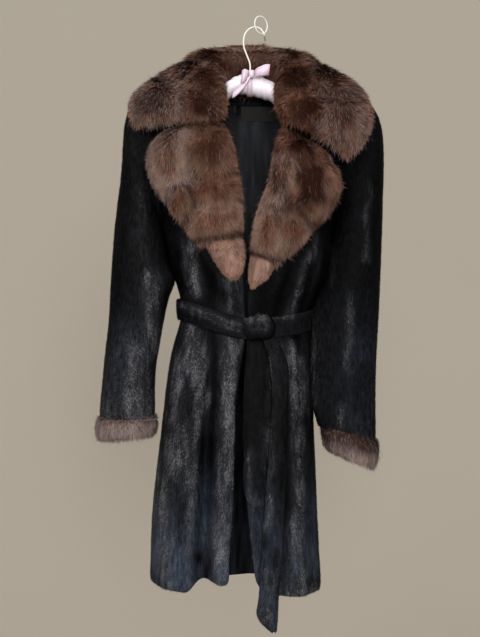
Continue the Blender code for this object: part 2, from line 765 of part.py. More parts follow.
def build_belt_end(node, table, steps):
    """A free end of the belt, which hangs from the knot in front of the skirt."""
    heights = table.columns["z"]
    z = np.linspace(heights[-1], heights[0], steps)[:, None]
    share = np.linspace(0, 1, 5)
    x = table.at("left_x", z) * (1 - share) + table.at("right_x", z) * share
    level = np.maximum(z, BELT_END_LEVEL) + 0 * x
    surface = body_points(FRONT, plan_angle(x, level), level)[..., 1]
    back = np.stack([x, surface - BELT_END_CLEAR, z + 0 * x], -1)
    front = back.copy()
    front[..., 1] -= BELT_END_WALL * pad_profile(share, BELT_END_EDGE)
    wall(node, front, back, "sheared_fur")


# ---- hanger ----

PAD_SECTIONS = Table(
    "x z half_height half_depth",
    (-160, -156, 8.5, 6),
    (-152, -157.6, 15, 11),
    (-120, -152.5, 19, 17),
    (-82, -148.5, 17, 19),
    (-45, -128, 16.5, 20),
    (-20, -124.5, 18.5, 20.5),
    (8, -130, 19, 20.5),
    (42, -149, 17.5, 20),
    (80, -152.5, 19, 17),
    (112, -157.6, 15, 11),
    (120, -156, 8.5, 6),
)


def build_pad():
    lump("hanger_pad", roll_rings(PAD_SECTIONS, 0.0, 19, 12, 2.1), "pink_satin")


BOW_SECTIONS = Table(
    "x z half_height half_depth",
    (-36, -108, 5, 3),
    (-32, -107, 12, 6),
    (-24, -106, 12, 7),
    (-17, -103, 8, 7),
    (-11, -100, 5, 5),
    (-3, -98, 9, 6),
    (8, -96, 10, 6),
    (13, -95, 6, 3),
)
BOW_Y = -23.4


def build_bow():
    lump("hanger_bow", roll_rings(BOW_SECTIONS, BOW_Y, 17, 10, 2.4), "pink_satin")


HOOK_RADIUS = 1.4
HOOK_PATH = (
    (-20, 0, -106.3),
    (-20, 0, -84),
    (-26, 0, -67.5),
    (-31, 0, -53),
    (-31.5, 0, -43),
    (-29, 0, -31),
    (-22, 0, -22),
    (-12, 0, -18),
    (-2, 0, -20.5),
    (5, 0, -30),
    (7.5, 0, -42),
)
RING_RADIUS = 15.5
RING_BAR = 1.1
RING_YAW = math.radians(42)
RING_STEPS = 28


def build_hook():
    wire("hanger_hook", through(HOOK_PATH, 34), HOOK_RADIUS, "coated_wire")


def build_ring():
    turns = np.arange(RING_STEPS) * 2 * math.pi / RING_STEPS
    across = RING_RADIUS * np.sin(turns)
    path = np.stack(
        [
            across * math.cos(RING_YAW),
            across * math.sin(RING_YAW),
            RING_BAR - RING_RADIUS + RING_RADIUS * np.cos(turns),
        ],
        -1,
    )
    wire("hanging_ring", path, RING_BAR, "coated_wire", closed=True)


def build():
    for old in list(bpy.data.objects):
        bpy.data.objects.remove(old, do_unlink=True)
    build_panels()
    build_lining()
    build_label("neck_label", LABEL, 6)
    build_label("size_tab", SIZE_TAB, 2)
    build_sleeve("sleeve_right", "right_x", RIGHT_SLEEVE)
    build_sleeve("sleeve_left", "left_x", LEFT_SLEEVE)
    build_cuff("cuff_right", RIGHT_CUFF)
    build_cuff("cuff_left", LEFT_CUFF)
    build_collar()
    build_lapel("lapel_right", RIGHT_LAPEL, 16, 8, "long_fur", 0, SEAM_ARCH)
    build_lapel("lapel_left", LEFT_LAPEL, 16, 8, "long_fur", 0, SEAM_ARCH)
    build_lapel("lapel_tip_right", RIGHT_TIP, 7, 6, "tip_fur", SEAM_ARCH, 0)
    build_lapel("lapel_tip_left", LEFT_TIP, 7, 6, "tip_fur", SEAM_ARCH, 0)
    build_belt()
    build_knot()
    build_belt_end("belt_end_long", LONG_END, 24)
    build_belt_end("belt_end_short", SHORT_END, 16)
    build_pad()
    build_bow()
    build_hook()
    build_ring()


build()
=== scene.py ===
"""The looks of a belted fur coat on a padded hanger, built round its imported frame.

Lengths are in millimetres and become metres when a mesh is made. +Z is up and the wearer faces -Y. Each
panel is a skin, which is its CAD solid made smooth and taken in by the depth of the fur, and the fur
grows from that skin as narrow blades, whose ends reach the solid's surface or a little past it. Noise and
fur have fixed seeds, so that each run makes the same coat.
"""

import math

import bmesh
import bpy
import numpy as np
from mathutils.bvhtree import BVHTree
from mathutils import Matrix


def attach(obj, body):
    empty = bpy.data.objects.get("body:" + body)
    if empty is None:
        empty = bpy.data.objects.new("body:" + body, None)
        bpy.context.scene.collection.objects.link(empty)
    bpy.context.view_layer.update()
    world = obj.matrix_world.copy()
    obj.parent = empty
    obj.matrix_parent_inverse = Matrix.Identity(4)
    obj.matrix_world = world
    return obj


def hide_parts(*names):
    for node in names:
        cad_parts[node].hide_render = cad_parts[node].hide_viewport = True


MM = 0.001
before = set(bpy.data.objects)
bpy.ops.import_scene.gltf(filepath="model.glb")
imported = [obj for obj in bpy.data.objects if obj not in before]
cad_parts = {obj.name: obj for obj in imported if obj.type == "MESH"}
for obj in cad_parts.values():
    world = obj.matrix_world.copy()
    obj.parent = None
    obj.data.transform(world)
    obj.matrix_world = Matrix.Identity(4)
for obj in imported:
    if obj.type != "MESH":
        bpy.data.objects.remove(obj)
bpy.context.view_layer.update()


# ---- meshes ----


def linked(name, data):
    """A new object in the scene."""
    made = bpy.data.objects.new(name, data)
    bpy.context.scene.collection.objects.link(made)
    return made


def vectors(items, key):
    """A named vector of each item as an array."""
    found = np.empty(len(items) * 3, np.float32)
    items.foreach_get(key, found)
    return found.reshape(-1, 3).astype(float)


def points_of(piece):
    return vectors(piece.data.vertices, "co") / MM


def set_points(piece, points):
    piece.data.vertices.foreach_set("co", (points * MM).astype(np.float32).ravel())
    piece.data.update()


def normals_of(piece):
    return vectors(piece.data.vertex_normals, "vector")


def unit(arrays):
    return arrays / np.maximum(np.linalg.norm(arrays, axis=-1, keepdims=True), 1e-9)


def across(vector_fields, onto):
    """The part of each vector that is at right angles to another, as a unit vector."""
    return unit(vector_fields - (vector_fields * onto).sum(-1, keepdims=True) * onto)


def new_mesh(name, points, faces):
    """A piece from points in millimetres and faces that all have the same number of corners."""
    points, faces = np.asarray(points, np.float32), np.asarray(faces, np.int32)
    mesh = bpy.data.meshes.new(name)
    mesh.vertices.add(len(points))
    mesh.loops.add(faces.size)
    mesh.polygons.add(len(faces))
    mesh.vertices.foreach_set("co", (points * MM).ravel())
    mesh.loops.foreach_set("vertex_index", faces.ravel())
    mesh.polygons.foreach_set("loop_start", np.arange(0, faces.size, faces.shape[1], dtype=np.int32))
    mesh.update(calc_edges=True)
    mesh.shade_smooth()
    return linked(name, mesh)


def paint(piece, colours):
    """Gives each vertex a colour, which the piece's material reads as `tint`."""
    layer = piece.data.color_attributes.new("tint", "FLOAT_COLOR", "POINT")
    rgba = np.concatenate([colours, np.ones((len(colours), 1))], 1)
    layer.data.foreach_set("color", rgba.astype(np.float32).ravel())


# How often a smooth mesh is made, and how much of its miss the next one makes up for.
SMOOTHINGS, PULL_SHARE = 3, 0.8
# Points of a CAD mesh that are nearer than this, in metres, become one.
WELD = 0.00002
# Triangles join where they are this flat and make a face this square, and edges sharper than the last
# angle stay sharp, all in degrees.
JOIN_FLAT, JOIN_SQUARE, SHARP_EDGE = 50, 120, 40


def smooth_through(piece, levels):
    """Makes a mesh finer and smooth, with its surface still through its first points."""
    smoother = piece.modifiers.new("smooth", "SUBSURF")
    smoother.levels = smoother.render_levels = levels
    wanted = points_of(piece)
    held = wanted.copy()
    for _ in range(SMOOTHINGS):
        graph = bpy.context.evaluated_depsgraph_get()
        finer = bpy.data.meshes.new_from_object(piece.evaluated_get(graph))
        reached = vectors(finer.vertices, "co")[: len(wanted)] / MM
        held += PULL_SHARE * (wanted - reached)
        set_points(piece, held)
    piece.modifiers.clear()
    piece.data = finer


def refined(node, name, levels):
    """A smooth, finer copy of a CAD node, which stands for it."""
    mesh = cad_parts[node].data.copy()
    mesh.materials.clear()
    for stale in ("custom_normal", "sharp_edge", "sharp_face"):
        if stale in mesh.attributes:
            mesh.attributes.remove(mesh.attributes[stale])
    shape = bmesh.new()
    shape.from_mesh(mesh)
    bmesh.ops.remove_doubles(shape, verts=shape.verts, dist=WELD)
    bmesh.ops.join_triangles(
        shape,
        faces=shape.faces,
        angle_face_threshold=math.radians(JOIN_FLAT),
        angle_shape_threshold=math.radians(JOIN_SQUARE),
    )
    shape.to_mesh(mesh)
    shape.free()
    piece = linked(name, mesh)
    if levels:
        smooth_through(piece, levels)
    else:
        piece.data.set_sharp_from_angle(angle=math.radians(SHARP_EDGE))
    piece.data.shade_smooth()
    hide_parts(node)
    return piece


# ---- smooth noise ----


def hashed(cells, seed):
    """A repeatable number from -1 to 1 for each cell of three whole numbers."""
    mixed = (cells * np.array([73856093, 19349663, 83492791])).sum(-1) + seed * 7919
    mixed = mixed.astype(np.uint64)
    for shift in (33, 29):
        mixed = (mixed ^ (mixed >> np.uint64(shift))) * np.uint64(0x9E3779B97F4A7C15)
    return (mixed >> np.uint64(40)).astype(float) / 2**23 - 1


def noise(points, size, seed):
    """Smooth noise from -1 to 1, with features of one size, or of a size for each axis."""
    at = points / np.asarray(size, float)
    cell = np.floor(at).astype(np.int64)
    part = at - cell
    part = part * part * (3 - 2 * part)
    total = np.zeros(len(points))
    for corner in np.ndindex(2, 2, 2):
        weight = np.where(np.array(corner, bool), part, 1 - part).prod(1)
        total += weight * hashed(cell + corner, seed)
    return total


# How far a lock's middle may lie from the middle of its cell, in cells.
LOCK_SCATTER = 0.45


def nearest_lock(points, size, seed):
    """The middle of the lock of hair that each point belongs to, with locks of about a size."""
    cell = np.floor(points / size).astype(np.int64)
    best, middle = np.full(len(points), np.inf), points.copy()
    for step in np.ndindex(3, 3, 3):
        there = cell + np.array(step) - 1
        jitter = np.stack([hashed(there, seed + k) for k in range(3)], 1)
        centre = (there + 0.5 + LOCK_SCATTER * jitter) * size
        gap = ((centre - points) ** 2).sum(1)
        nearer = gap < best
        best[nearer], middle[nearer] = gap[nearer], centre[nearer]
    return middle


# ---- materials ----


def shader_of(name):
    """A new material, its tree and its shader."""
    made = bpy.data.materials.new(name)
    made.use_nodes = True
    return made, made.node_tree, made.node_tree.nodes["Principled BSDF"]


def plug(tree, into, inputs):
    """Gives each of a node's inputs its value, or links it to another node's output."""
    for key, value in inputs.items():
        if isinstance(value, bpy.types.NodeSocket):
            tree.links.new(value, into.inputs[key])
        else:
            into.inputs[key].default_value = value


def node(tree, kind, inputs=(), **settings):
    """A new node of a kind, with its settings and inputs."""
    made = tree.nodes.new("ShaderNode" + kind)
    for key, value in settings.items():
        setattr(made, key, value)
    plug(tree, made, dict(inputs))
    return made


def set_shader(tree, shader, **values):
    plug(tree, shader, {key.replace("_", " "): value for key, value in values.items()})


def stretched(tree, scale):
    """The object's own coordinates, stretched for a texture."""
    places = node(tree, "TexCoord").outputs["Object"]
    return node(tree, "Mapping", {"Vector": places, "Scale": scale}).outputs["Vector"]


def clouds(tree, stretch, scale, detail=2.0):
    """A noise texture, from 0 to 1."""
    inputs = {"Vector": stretched(tree, stretch), "Scale": scale, "Detail": detail}
    return node(tree, "TexNoise", inputs).outputs["Fac"]


def mapped(tree, value, low, high, to_low=0.0, to_high=1.0):
    """A value taken from one range to another."""
    inputs = {"Value": value, "From Min": low, "From Max": high, "To Min": to_low, "To Max": to_high}
    return node(tree, "MapRange", inputs).outputs["Result"]


def product(tree, value, other):
    return node(tree, "Math", {0: value, 1: other}, operation="MULTIPLY").outputs[0]


def between(tree, share, first, second):
    """A colour that goes from one to another."""
    mixed = node(tree, "Mix", {"Factor": share}, data_type="RGBA")
    mixed.inputs["A"].default_value = (*first, 1)
    mixed.inputs["B"].default_value = (*second, 1)
    return mixed.outputs["Result"]


def tint_of(tree):
    """The colour that is painted on the mesh."""
    return node(tree, "Attribute", attribute_name="tint").outputs["Color"]


def tinted(tree, strength):
    """The painted colour, made darker and lighter by a texture."""
    mixed = node(tree, "VectorMath", {0: tint_of(tree), 1: strength}, operation="MULTIPLY")
    return mixed.outputs["Vector"]


def bumps(tree, height, strength, distance):
    inputs = {"Strength": strength, "Distance": distance, "Height": height}
    return node(tree, "Bump", inputs).outputs["Normal"]


def fur_material(name, grain, roughness=0.5, specular=0.03, sheen=0.0, sheen_tint=(1, 1, 1)):
    """Hair: its colour is in the mesh, and a fine streaky grain runs along it."""
    made, tree, shader = shader_of(name)
    streaks = clouds(tree, (1, 1, 0.25), grain)
    set_shader(tree, shader, Base_Color=tinted(tree, mapped(tree, streaks, 0.3, 0.7, 0.7, 1.3)))
    set_shader(tree, shader, Roughness=roughness, Specular_IOR_Level=specular)
    set_shader(tree, shader, Sheen_Weight=sheen, Sheen_Roughness=0.4, Sheen_Tint=(*sheen_tint, 1))
    return made


def woven_figure(tree, scale):
    """A figured weave: rippled petals, in soft upright bands."""
    places = stretched(tree, (1, 1, 0.8))
    petals = node(tree, "TexVoronoi", {"Vector": places, "Scale": scale}, feature="SMOOTH_F1")
    ripples = product(tree, petals.outputs["Distance"], 21.0)
    wave = node(tree, "Math", {0: ripples}, operation="SINE").outputs[0]
    bands = clouds(tree, (1, 1, 0.12), 75.0)
    return product(tree, mapped(tree, wave, -1.2, 1.6, 0.6, 1.0), mapped(tree, bands, 0.4, 0.64))


def cloth_material(
    name, light, dark, threads, roughness, specular, sheen=0.0, sheen_tint=(1, 1, 1), figure=None
):
    """Woven cloth: fine crossing threads, and a woven figure where one is asked for."""
    made, tree, shader = shader_of(name)
    inputs = {"Vector": stretched(tree, (1, 1, 1)), "Scale": threads, "Distortion": 0.6}
    warp = node(tree, "TexWave", inputs, bands_direction="DIAGONAL").outputs["Fac"]
    pattern = woven_figure(tree, figure) if figure else clouds(tree, (1, 1, 0.4), 24.0, 3.0)
    set_shader(tree, shader, Base_Color=between(tree, pattern, dark, light))
    set_shader(tree, shader, Normal=bumps(tree, warp, 0.25, 0.0003))
    set_shader(tree, shader, Roughness=roughness, Specular_IOR_Level=specular)
    set_shader(tree, shader, Sheen_Weight=sheen, Sheen_Roughness=0.35, Sheen_Tint=(*sheen_tint, 1))
    return made


def skin_material(name, colours=None):
    """What shows between the blades: the dense underfur, mottled and streaky down the panel."""
    made, tree, shader = shader_of(name)
    broad = clouds(tree, (1, 1, 0.3), 260.0, 4.0)
    if colours:
        colour = between(tree, broad, *colours)
    else:
        colour = tinted(tree, mapped(tree, broad, 0.35, 0.7, 0.4, 1.8))
    fine = bumps(tree, clouds(tree, (1, 1, 0.2), 420.0), 0.6, 0.0012)
    set_shader(tree, shader, Base_Color=colour, Normal=fine, Roughness=0.65, Specular_IOR_Level=0.03)
    return made


def painted_material(name, roughness):
    """A hard, smooth finish whose colour is in the mesh, with faint wear in its gloss."""
    made, tree, shader = shader_of(name)
    wear = clouds(tree, (1, 1, 1), 300.0)
    gloss = mapped(tree, wear, 0.0, 1.0, roughness - 0.08, roughness + 0.12)
    set_shader(tree, shader, Base_Color=tint_of(tree), Roughness=gloss)
    return made


BLACK_FUR = fur_material("sheared_fur", 90.0)
BROWN_FUR = fur_material("long_fur", 60.0)
PALE_FUR = fur_material(
    "tip_fur", 60.0, roughness=0.55, specular=0.1, sheen=0.03, sheen_tint=(0.9, 0.78, 0.68)
)
BLACK_SKIN = skin_material("underfur_black")
BROWN_SKIN = skin_material("underfur_brown", ((0.03, 0.014, 0.009), (0.09, 0.045, 0.031)))
LINING = cloth_material(
    "satin_lining", (0.014, 0.0165, 0.022), (0.0015, 0.002, 0.003), threads=900.0,
    roughness=0.45, specular=0.08, figure=55.0,
)
LABEL_CLOTH = cloth_material(
    "woven_label", (0.024, 0.023, 0.022), (0.013, 0.0125, 0.012), threads=1400.0,
    roughness=0.6, specular=0.15, sheen=0.02, sheen_tint=(0.7, 0.7, 0.7),
)
PINK_SATIN = cloth_material(
    "pink_satin", (0.96, 0.91, 0.95), (0.88, 0.78, 0.86), threads=1200.0,
    roughness=0.36, specular=0.4, sheen=0.2, sheen_tint=(1.0, 0.9, 0.95),
)
RIBBON = cloth_material(
    "pink_ribbon", (0.84, 0.70, 0.80), (0.76, 0.58, 0.70), threads=1600.0,
    roughness=0.35, specular=0.5, sheen=0.3, sheen_tint=(1.0, 0.85, 0.95),
)
COATED_WIRE = painted_material("coated_wire", 0.3)


# ---- fur ----


class Skin:
    """A surface that fur grows from."""

    def __init__(self, piece, grows, tone=None):
        mesh = piece.data
        mesh.calc_loop_triangles()
        corners = np.empty(len(mesh.loop_triangles) * 3, np.int32)
        mesh.loop_triangles.foreach_get("vertices", corners)
        self.points, self.normals = points_of(piece), normals_of(piece)
        self.corners = corners.reshape(-1, 3)
        a, b, c = (self.points[self.corners[:, k]] for k in range(3))
        weight = grows(self.points, self.normals)[self.corners].mean(1).clip(0)
        self.share = np.linalg.norm(np.cross(b - a, c - a), axis=1) / 2 * weight
        self.area = self.share.sum()
        self.share /= self.area
        self.tone = tone

    def roots(self, count, random):
        """Points scattered evenly over the part that fur grows from, and the normals there."""
        chosen = self.corners[random.choice(len(self.share), count, p=self.share)]
        b, c = random.random((2, count, 1))
        folded = b + c > 1
        b, c = np.where(folded, 1 - b, b), np.where(folded, 1 - c, c)
        parts = (1 - b - c, b, c)
        points, normals = (
            sum(part * values[chosen[:, k]] for k, part in enumerate(parts))
            for values in (self.points, self.normals)
        )
        if self.tone is not None:
            self.root_tone = sum(part[:, 0] * self.tone[chosen[:, k]] for k, part in enumerate(parts))
        return points, unit(normals)


# Where a solid leaves hardly any room, blades keep this share of their length.
LEAST_LENGTH = 0.15


def reach_limit(node_name, roots, ways, length, overhang):
    """Each blade's length, cut where it would pass the CAD solid's surface by more than an overhang."""
    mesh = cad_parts[node_name].data
    mesh.calc_loop_triangles()
    faces = [tuple(face.vertices) for face in mesh.loop_triangles]
    tree = BVHTree.FromPolygons([v.co[:] for v in mesh.vertices], faces)
    room = np.zeros(len(roots))
    for i, (root, way) in enumerate(zip(roots * MM, ways)):
        _, out, _, distance = tree.ray_cast(root, way)
        if distance is not None and out.dot(way) > 0:
            room[i] = distance / MM
    return np.minimum(length, np.maximum(room + overhang, LEAST_LENGTH * length))


def combed(roots, normals, comb, style, seed, random):
    """The way that each blade lies on its skin, waved and strayed from the comb, and the way across it."""
    along = across(comb(roots, normals), normals)
    turn = style["stray"] * random.standard_normal(len(roots))
    turn = turn + style["wave"] * noise(roots, style["lock"] * 3, seed)
    sideways = np.cross(normals, along)
    along = along * np.cos(turn)[:, None] + sideways * np.sin(turn)[:, None]
    return along, np.cross(normals, along)


def blade_lengths(roots, normals, along, style, seed, random, within, trim):
    """Each blade's length, uneven, trimmed by a share and cut to the room in its CAD solid."""
    length = style["length"] * (1 + style["uneven"] * random.uniform(-1, 1, len(roots)))
    length = length * (1 + 0.15 * noise(roots, style["lock"] * 2, seed + 1))
    if trim:
        length = length * trim(roots)
    if not within:
        return length
    lift = np.radians(style["lift"]).mean()
    ways = along * math.cos(lift) + normals * math.sin(lift)
    overhang = style["overhang"] + style["droop"] * (-normals[:, 2]).clip(0, 1)
    overhang = overhang * (0.2 + 1.7 * random.random(len(roots)) ** 1.5)
    return reach_limit(within, roots, ways, length, overhang)


def blade_lines(roots, normals, along, sideways, length, style, seed, random):
    """Each blade's points from root to end: lifted off the skin, bent, and drawn towards its lock."""
    lock = nearest_lock(roots, style["lock"], seed + 2) - roots
    lock -= (lock * normals).sum(1, keepdims=True) * normals
    bend = style["bend"] * random.standard_normal(len(roots))
    steps, (low, high) = style["steps"], np.radians(style["lift"])
    line = [roots]
    for k in range(steps):
        angle = low + (high - low) * (k + 0.5) / steps + 0.12 * random.standard_normal(len(roots))
        way = along * np.cos(angle)[:, None] + normals * np.sin(angle)[:, None]
        line.append(line[-1] + way * (length / steps)[:, None])
    for k in range(1, steps + 1):
        share = (k / steps) ** 2
        line[k] = line[k] + share * (style["pull"] * lock + (bend * length)[:, None] * sideways)
    return line


# The share by which a blade narrows along its length, before the point that it ends in.
TAPER = 0.35


def blade_corners(line, flat, width):
    """A pair of corners at each of a blade's points and one at its end, and how far along each one is."""
    steps = len(line) - 1
    corners, levels = [], []
    for k in range(steps):
        half = width / 2 * (1 - TAPER * k / steps)
        corners += [line[k] - flat * half, line[k] + flat * half]
        levels += [k / steps] * 2
    return np.stack(corners + [line[-1]], 1), np.array(levels + [1.0])


def blade_faces(count, steps):
    base = np.arange(count)[:, None] * (2 * steps + 1)
    faces = [base + np.array([2 * k, 2 * k + 2, 2 * k + 1]) for k in range(steps)]
    faces += [base + np.array([2 * k + 1, 2 * k + 2, 2 * k + 3]) for k in range(steps - 1)]
    return np.concatenate(faces)


def grow(name, skin, count, comb, style, shade, material, seed, within=None, trim=None):
    """Fur as one mesh of narrow blades, combed along a field, gathered into locks, trimmed by a share of
    their length and shaded from their roots to their ends."""
    random = np.random.default_rng(seed)
    roots, normals = skin.roots(count, random)
    along, sideways = combed(roots, normals, comb, style, seed, random)
    length = blade_lengths(roots, normals, along, style, seed, random, within, trim)
    line = blade_lines(roots, normals, along, sideways, length, style, seed, random)
    roll = np.radians(style["roll"]) * random.uniform(-1, 1, count)
    lean = np.cross(line[-1] - line[0], sideways)
    flat = sideways * np.cos(roll)[:, None] + unit(lean) * np.sin(roll)[:, None]
    corners, levels = blade_corners(line, flat, style["width"])
    piece = new_mesh(name, corners.reshape(-1, 3), blade_faces(count, style["steps"]))
    own = np.cross(flat, line[-1] - line[0])
    own = unit(own) * np.sign((own * normals).sum(1))[:, None]
    facing = unit(style["soft"] * normals + (1 - style["soft"]) * own)
    layer = piece.data.attributes.new("custom_normal", "FLOAT_VECTOR", "POINT")
    layer.data.foreach_set("vector", np.repeat(facing, len(levels), 0).astype(np.float32).ravel())
    places = [line[round(level * style["steps"])] for level in levels]
    paint(piece, shade(places, levels, random).reshape(-1, 3))
    piece.data.materials.append(material)
    return piece


# A style's lift, at root and end, and its roll are in degrees, and its wave and stray in radians. Its
# length, width, locks, overhang and droop are in millimetres: fur may pass its solid by the overhang, and
# where the skin looks down by the droop more. `soft` is how much of the skin's shading a blade takes.
SHEARED = dict(
    length=4.0, uneven=0.3, lift=(28, 12), width=1.0, steps=1, lock=5.0, pull=0.1,
    wave=0.18, stray=0.12, bend=0.04, roll=30, soft=0.85,
)
GLINTS = dict(SHEARED, length=3.4, width=0.6, lift=(40, 18), uneven=0.5, stray=0.35)
LONG = dict(
    length=27.0, uneven=0.3, lift=(50, 12), width=0.92, steps=2, lock=9.0, pull=0.2,
    wave=0.25, stray=0.2, bend=0.06, roll=50, soft=0.75, overhang=5.0, droop=7.0,
)
GUARD = dict(
    length=27.0, uneven=0.4, lift=(42, 20), width=0.4, steps=2, lock=14.0, pull=0.05,
    wave=0.4, stray=0.3, bend=0.12, roll=70, soft=0.6, overhang=9.0, droop=5.0,
)
CUFF_PILE = dict(
    length=20.0, uneven=0.3, lift=(42, 8), width=0.85, steps=2, lock=6.0, pull=0.3,
    wave=0.2, stray=0.14, bend=0.06, roll=50, soft=0.65, overhang=3.5, droop=3.0,
)
SHORT = dict(
    length=9.0, uneven=0.3, lift=(40, 16), width=0.8, steps=2, lock=5.0, pull=0.3,
    wave=0.5, stray=0.3, bend=0.08, roll=60, soft=0.55, overhang=3.0, droop=1.5,
)


def finish(slot_name, *pieces):
    """Puts pieces on the part's one body. The colour slot's name is not used."""
    for piece in pieces:
        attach(piece, "root")


# ---- the black sheared fur ----

# The fur's own black, then the painted sheen, painted glints and painted bluish sheen laid over it.
BLACK_DARK = np.array([0.0010, 0.0012, 0.0015])
BLACK_LIT = np.array([0.060, 0.061, 0.068])
BLACK_GLINT = np.array([0.58, 0.58, 0.63])
PAINTED_BLUE_SHEEN = np.array([0.030, 0.040, 0.060])

# Painted sheen on the front: a line from one end to the other in x and z, its width and its strength,
# from 0 to 1.
SHEEN_LINES = (
    (-171, -982, -183, -823, 20, 0.75), (-190, -594, -197, -464, 9, 0.75),
    (-220, -698, -212, -597, 13, 0.6), (-152, -725, -150, -618, 13, 1.0),
    (-124, -645, -123, -549, 13, 1.0), (-104, -720, -102, -594, 13, 1.0),
    (-53, -833, -57, -578, 10, 0.9), (-79, -965, -83, -899, 20, 0.65), (56, -705, 56, -594, 8, 0.75),
    (77, -705, 73, -618, 8, 0.75), (64, -942, 66, -831, 11, 0.7), (59, -1013, 57, -935, 26, 0.45),
    (141, -727, 141, -701, 5, 0.8), (183, -440, 187, -310, 3, 0.7), (-118, -493, -124, -414, 11, 0.75),
    (-53, -531, -59, -481, 14, 0.7), (51, -535, 73, -476, 5, 0.7), (64, -500, 100, -400, 5, 0.6),
    (125, -476, 125, -414, 5, 0.4), (-149, -805, -145, -736, 18, 0.7), (35, -805, 35, -597, 9, 0.4),
    (150, -640, 152, -500, 4, 0.8), (-211, -441, -208, -320, 10, 0.25), (71, -805, 70, -736, 11, 0.45),
    (-24, -719, -22, -589, 14, 0.25), (-120, -900, -118, -800, 16, 0.4),
)
# The bottoms of the folds between them, dug into the skin and painted in shade.
VALLEYS = (
    (-88, -710, -88, -570, 7, 0.8), (-108, -990, -101, -800, 9, 0.9), (-101, -810, -88, -700, 8, 0.7),
    (-50, -800, -32, -600, 4, 0.7), (37, -870, 43, -690, 6, 0.7), (-165, -700, -160, -560, 9, 0.4),
    (-150, -990, -146, -830, 12, 0.3), (100, -960, 96, -720, 9, 0.5), (-128, -760, -132, -660, 7, 0.4),
    (-68, -509, -110, -437, 6, 0.8), (40, -491, 92, -392, 5, 0.7), (-146, -500, -150, -430, 6, 0.5),
)
KNOT_CREASES = (
    (-16, -556, -12, -530, 2.5, 1.0), (6, -558, 1, -536, 2.5, 0.8), (-22, -548, 14, -552, 2.0, 0.6),
    (-60, -553, -28, -556, 3.0, 0.7), (-64, -541, -34, -547, 2.5, 0.5), (26, -552, 54, -544, 2.5, 0.6),
    (4, -700, 10, -580, 3.0, 0.4), (20, -660, 14, -580, 3.0, 0.5), (-12, -640, -8, -580, 3.0, 0.4),
)
KNOT_CREASE_DEPTH, VALLEY_DEPTH = 2.2, 2.5
# Painted sheen on the belt, its knot and its ends, in the same columns.
BELT_SHEEN_LINES = (
    (-138, -520, -38, -555, 4, 0.55), (-120, -533, -42, -563, 3, 0.45), (28, -543, 52, -538, 4, 0.5),
    (52, -538, 92, -514, 4, 0.45), (-18, -543, 13, -541, 6, 1.0), (-8, -560, 12, -556, 4, 0.4),
    (12, -1060, 14, -980, 7, 0.4), (10, -900, 12, -720, 5, 0.35), (-22, -850, -20, -780, 8, 0.5),
    (-60, -546, -40, -552, 5, 0.5), (14, -700, 16, -600, 5, 0.25), (-24, -866, -4, -868, 3, 0.8),
)
# A line reaches this many times its width, and fades with this power of the distance.
LINE_SPREAD, LINE_FADE = 1.4, 1.6


def ramp(values, low, high):
    """A smooth step from 0 at one value to 1 at another."""
    share = ((values - low) / (high - low)).clip(0, 1)
    return share * share * (3 - 2 * share)


def line_strength(points, table):
    """How strongly a table's lines run through each point of the front, from 0 to 1."""
    total = np.zeros(len(points))
    place = points[:, [0, 2]]
    for low_x, low_z, high_x, high_z, width, strength in table:
        start, reach = np.array([low_x, low_z]), np.array([high_x - low_x, high_z - low_z])
        share = ((place - start) @ reach / (reach @ reach)).clip(0, 1)
        gap = np.linalg.norm(place - start - share[:, None] * reach, axis=1)
        total = np.maximum(total, strength * np.exp(-((gap / (LINE_SPREAD * width)) ** LINE_FADE)))
    return total * (points[:, 1] < 0)


# How many rings of neighbours a bulge is measured against, how often the result is smoothed, and the
# height in millimetres that counts as 1.
BULGE_RINGS, BULGE_SMOOTHING, FULL_BULGE = 6, 3, 1.2


def bulge(piece):
    """How much each point of a mesh stands out from those round it, smoothed, from about -1 to 1."""
    mesh, points, normals = piece.data, points_of(piece), normals_of(piece)
    ends = np.empty(len(mesh.edges) * 2, np.int32)
    mesh.edges.foreach_get("vertices", ends)
    a, b = ends.reshape(-1, 2).T
    count = np.bincount(np.concatenate([a, b]), minlength=len(points)).clip(1)

    def neighbours(values):
        total = np.zeros_like(values)
        np.add.at(total, a, values[b])
        np.add.at(total, b, values[a])
        return total / count.reshape(-1, *[1] * (values.ndim - 1))

    wide = points
    for _ in range(BULGE_RINGS):
        wide = neighbours(wide)
    raised = ((points - wide) * normals).sum(1)
    for _ in range(BULGE_SMOOTHING):
        raised = neighbours(raised)
    return (raised / FULL_BULGE).clip(-1, 1)


# Where the painted sheen and shade of the black fur change: SKIRT, HEM and CUFFWARD are depths below the
# origin, ARM is in x, ABOVE_CUFF is in z, and FAR_ARM is how far from the coat's middle.
SKIRT, HEM, CUFFWARD = (500, 600), (760, 1000), (460, 620)
ARM, FAR_ARM, ABOVE_CUFF = (85, 112), (135, 190), (-780, -730)
COAT_MIDDLE_X = -35
# How far in x the edges of the painted sheen lines are ragged.
RAGGED = 9
# The size and seed of the fine flecks in the painted sheen and glints.
FLECK_SIZE, FLECK_SEED = (5, 5, 15), 76


def painted_light_of(points, raised, lines):
    """How much sheen and shade is painted on the black fur at each point, from 0 to 1."""
    patch = 0.5 + 0.5 * noise(points, (45, 45, 120), 51)
    streak = 0.5 + 0.5 * noise(points, (7, 7, 60), 53)
    ragged = points + np.array([RAGGED, 0, 0]) * noise(points, (16, 16, 36), 58)[:, None]
    skirt = ramp(-points[:, 2], *SKIRT)
    # Painted sheen on ridges, lower down and along the lines; painted shade on the left sleeve and in
    # valleys.
    shaded_arm = ramp(points[:, 0], *ARM) * ramp(points[:, 2], *ABOVE_CUFF)
    plain = 0.01 + 0.05 * skirt + (0.12 + 0.2 * skirt) * raised.clip(-0.4, 1) * (0.5 + 0.5 * patch)
    lit = 0.85 * line_strength(ragged, lines) * (0.4 + 0.6 * streak)
    tone = plain * (1 - 0.6 * shaded_arm) + lit * (1 - 0.25 * shaded_arm)
    return (tone * (1 - line_strength(ragged, VALLEYS))).clip(0, 1)


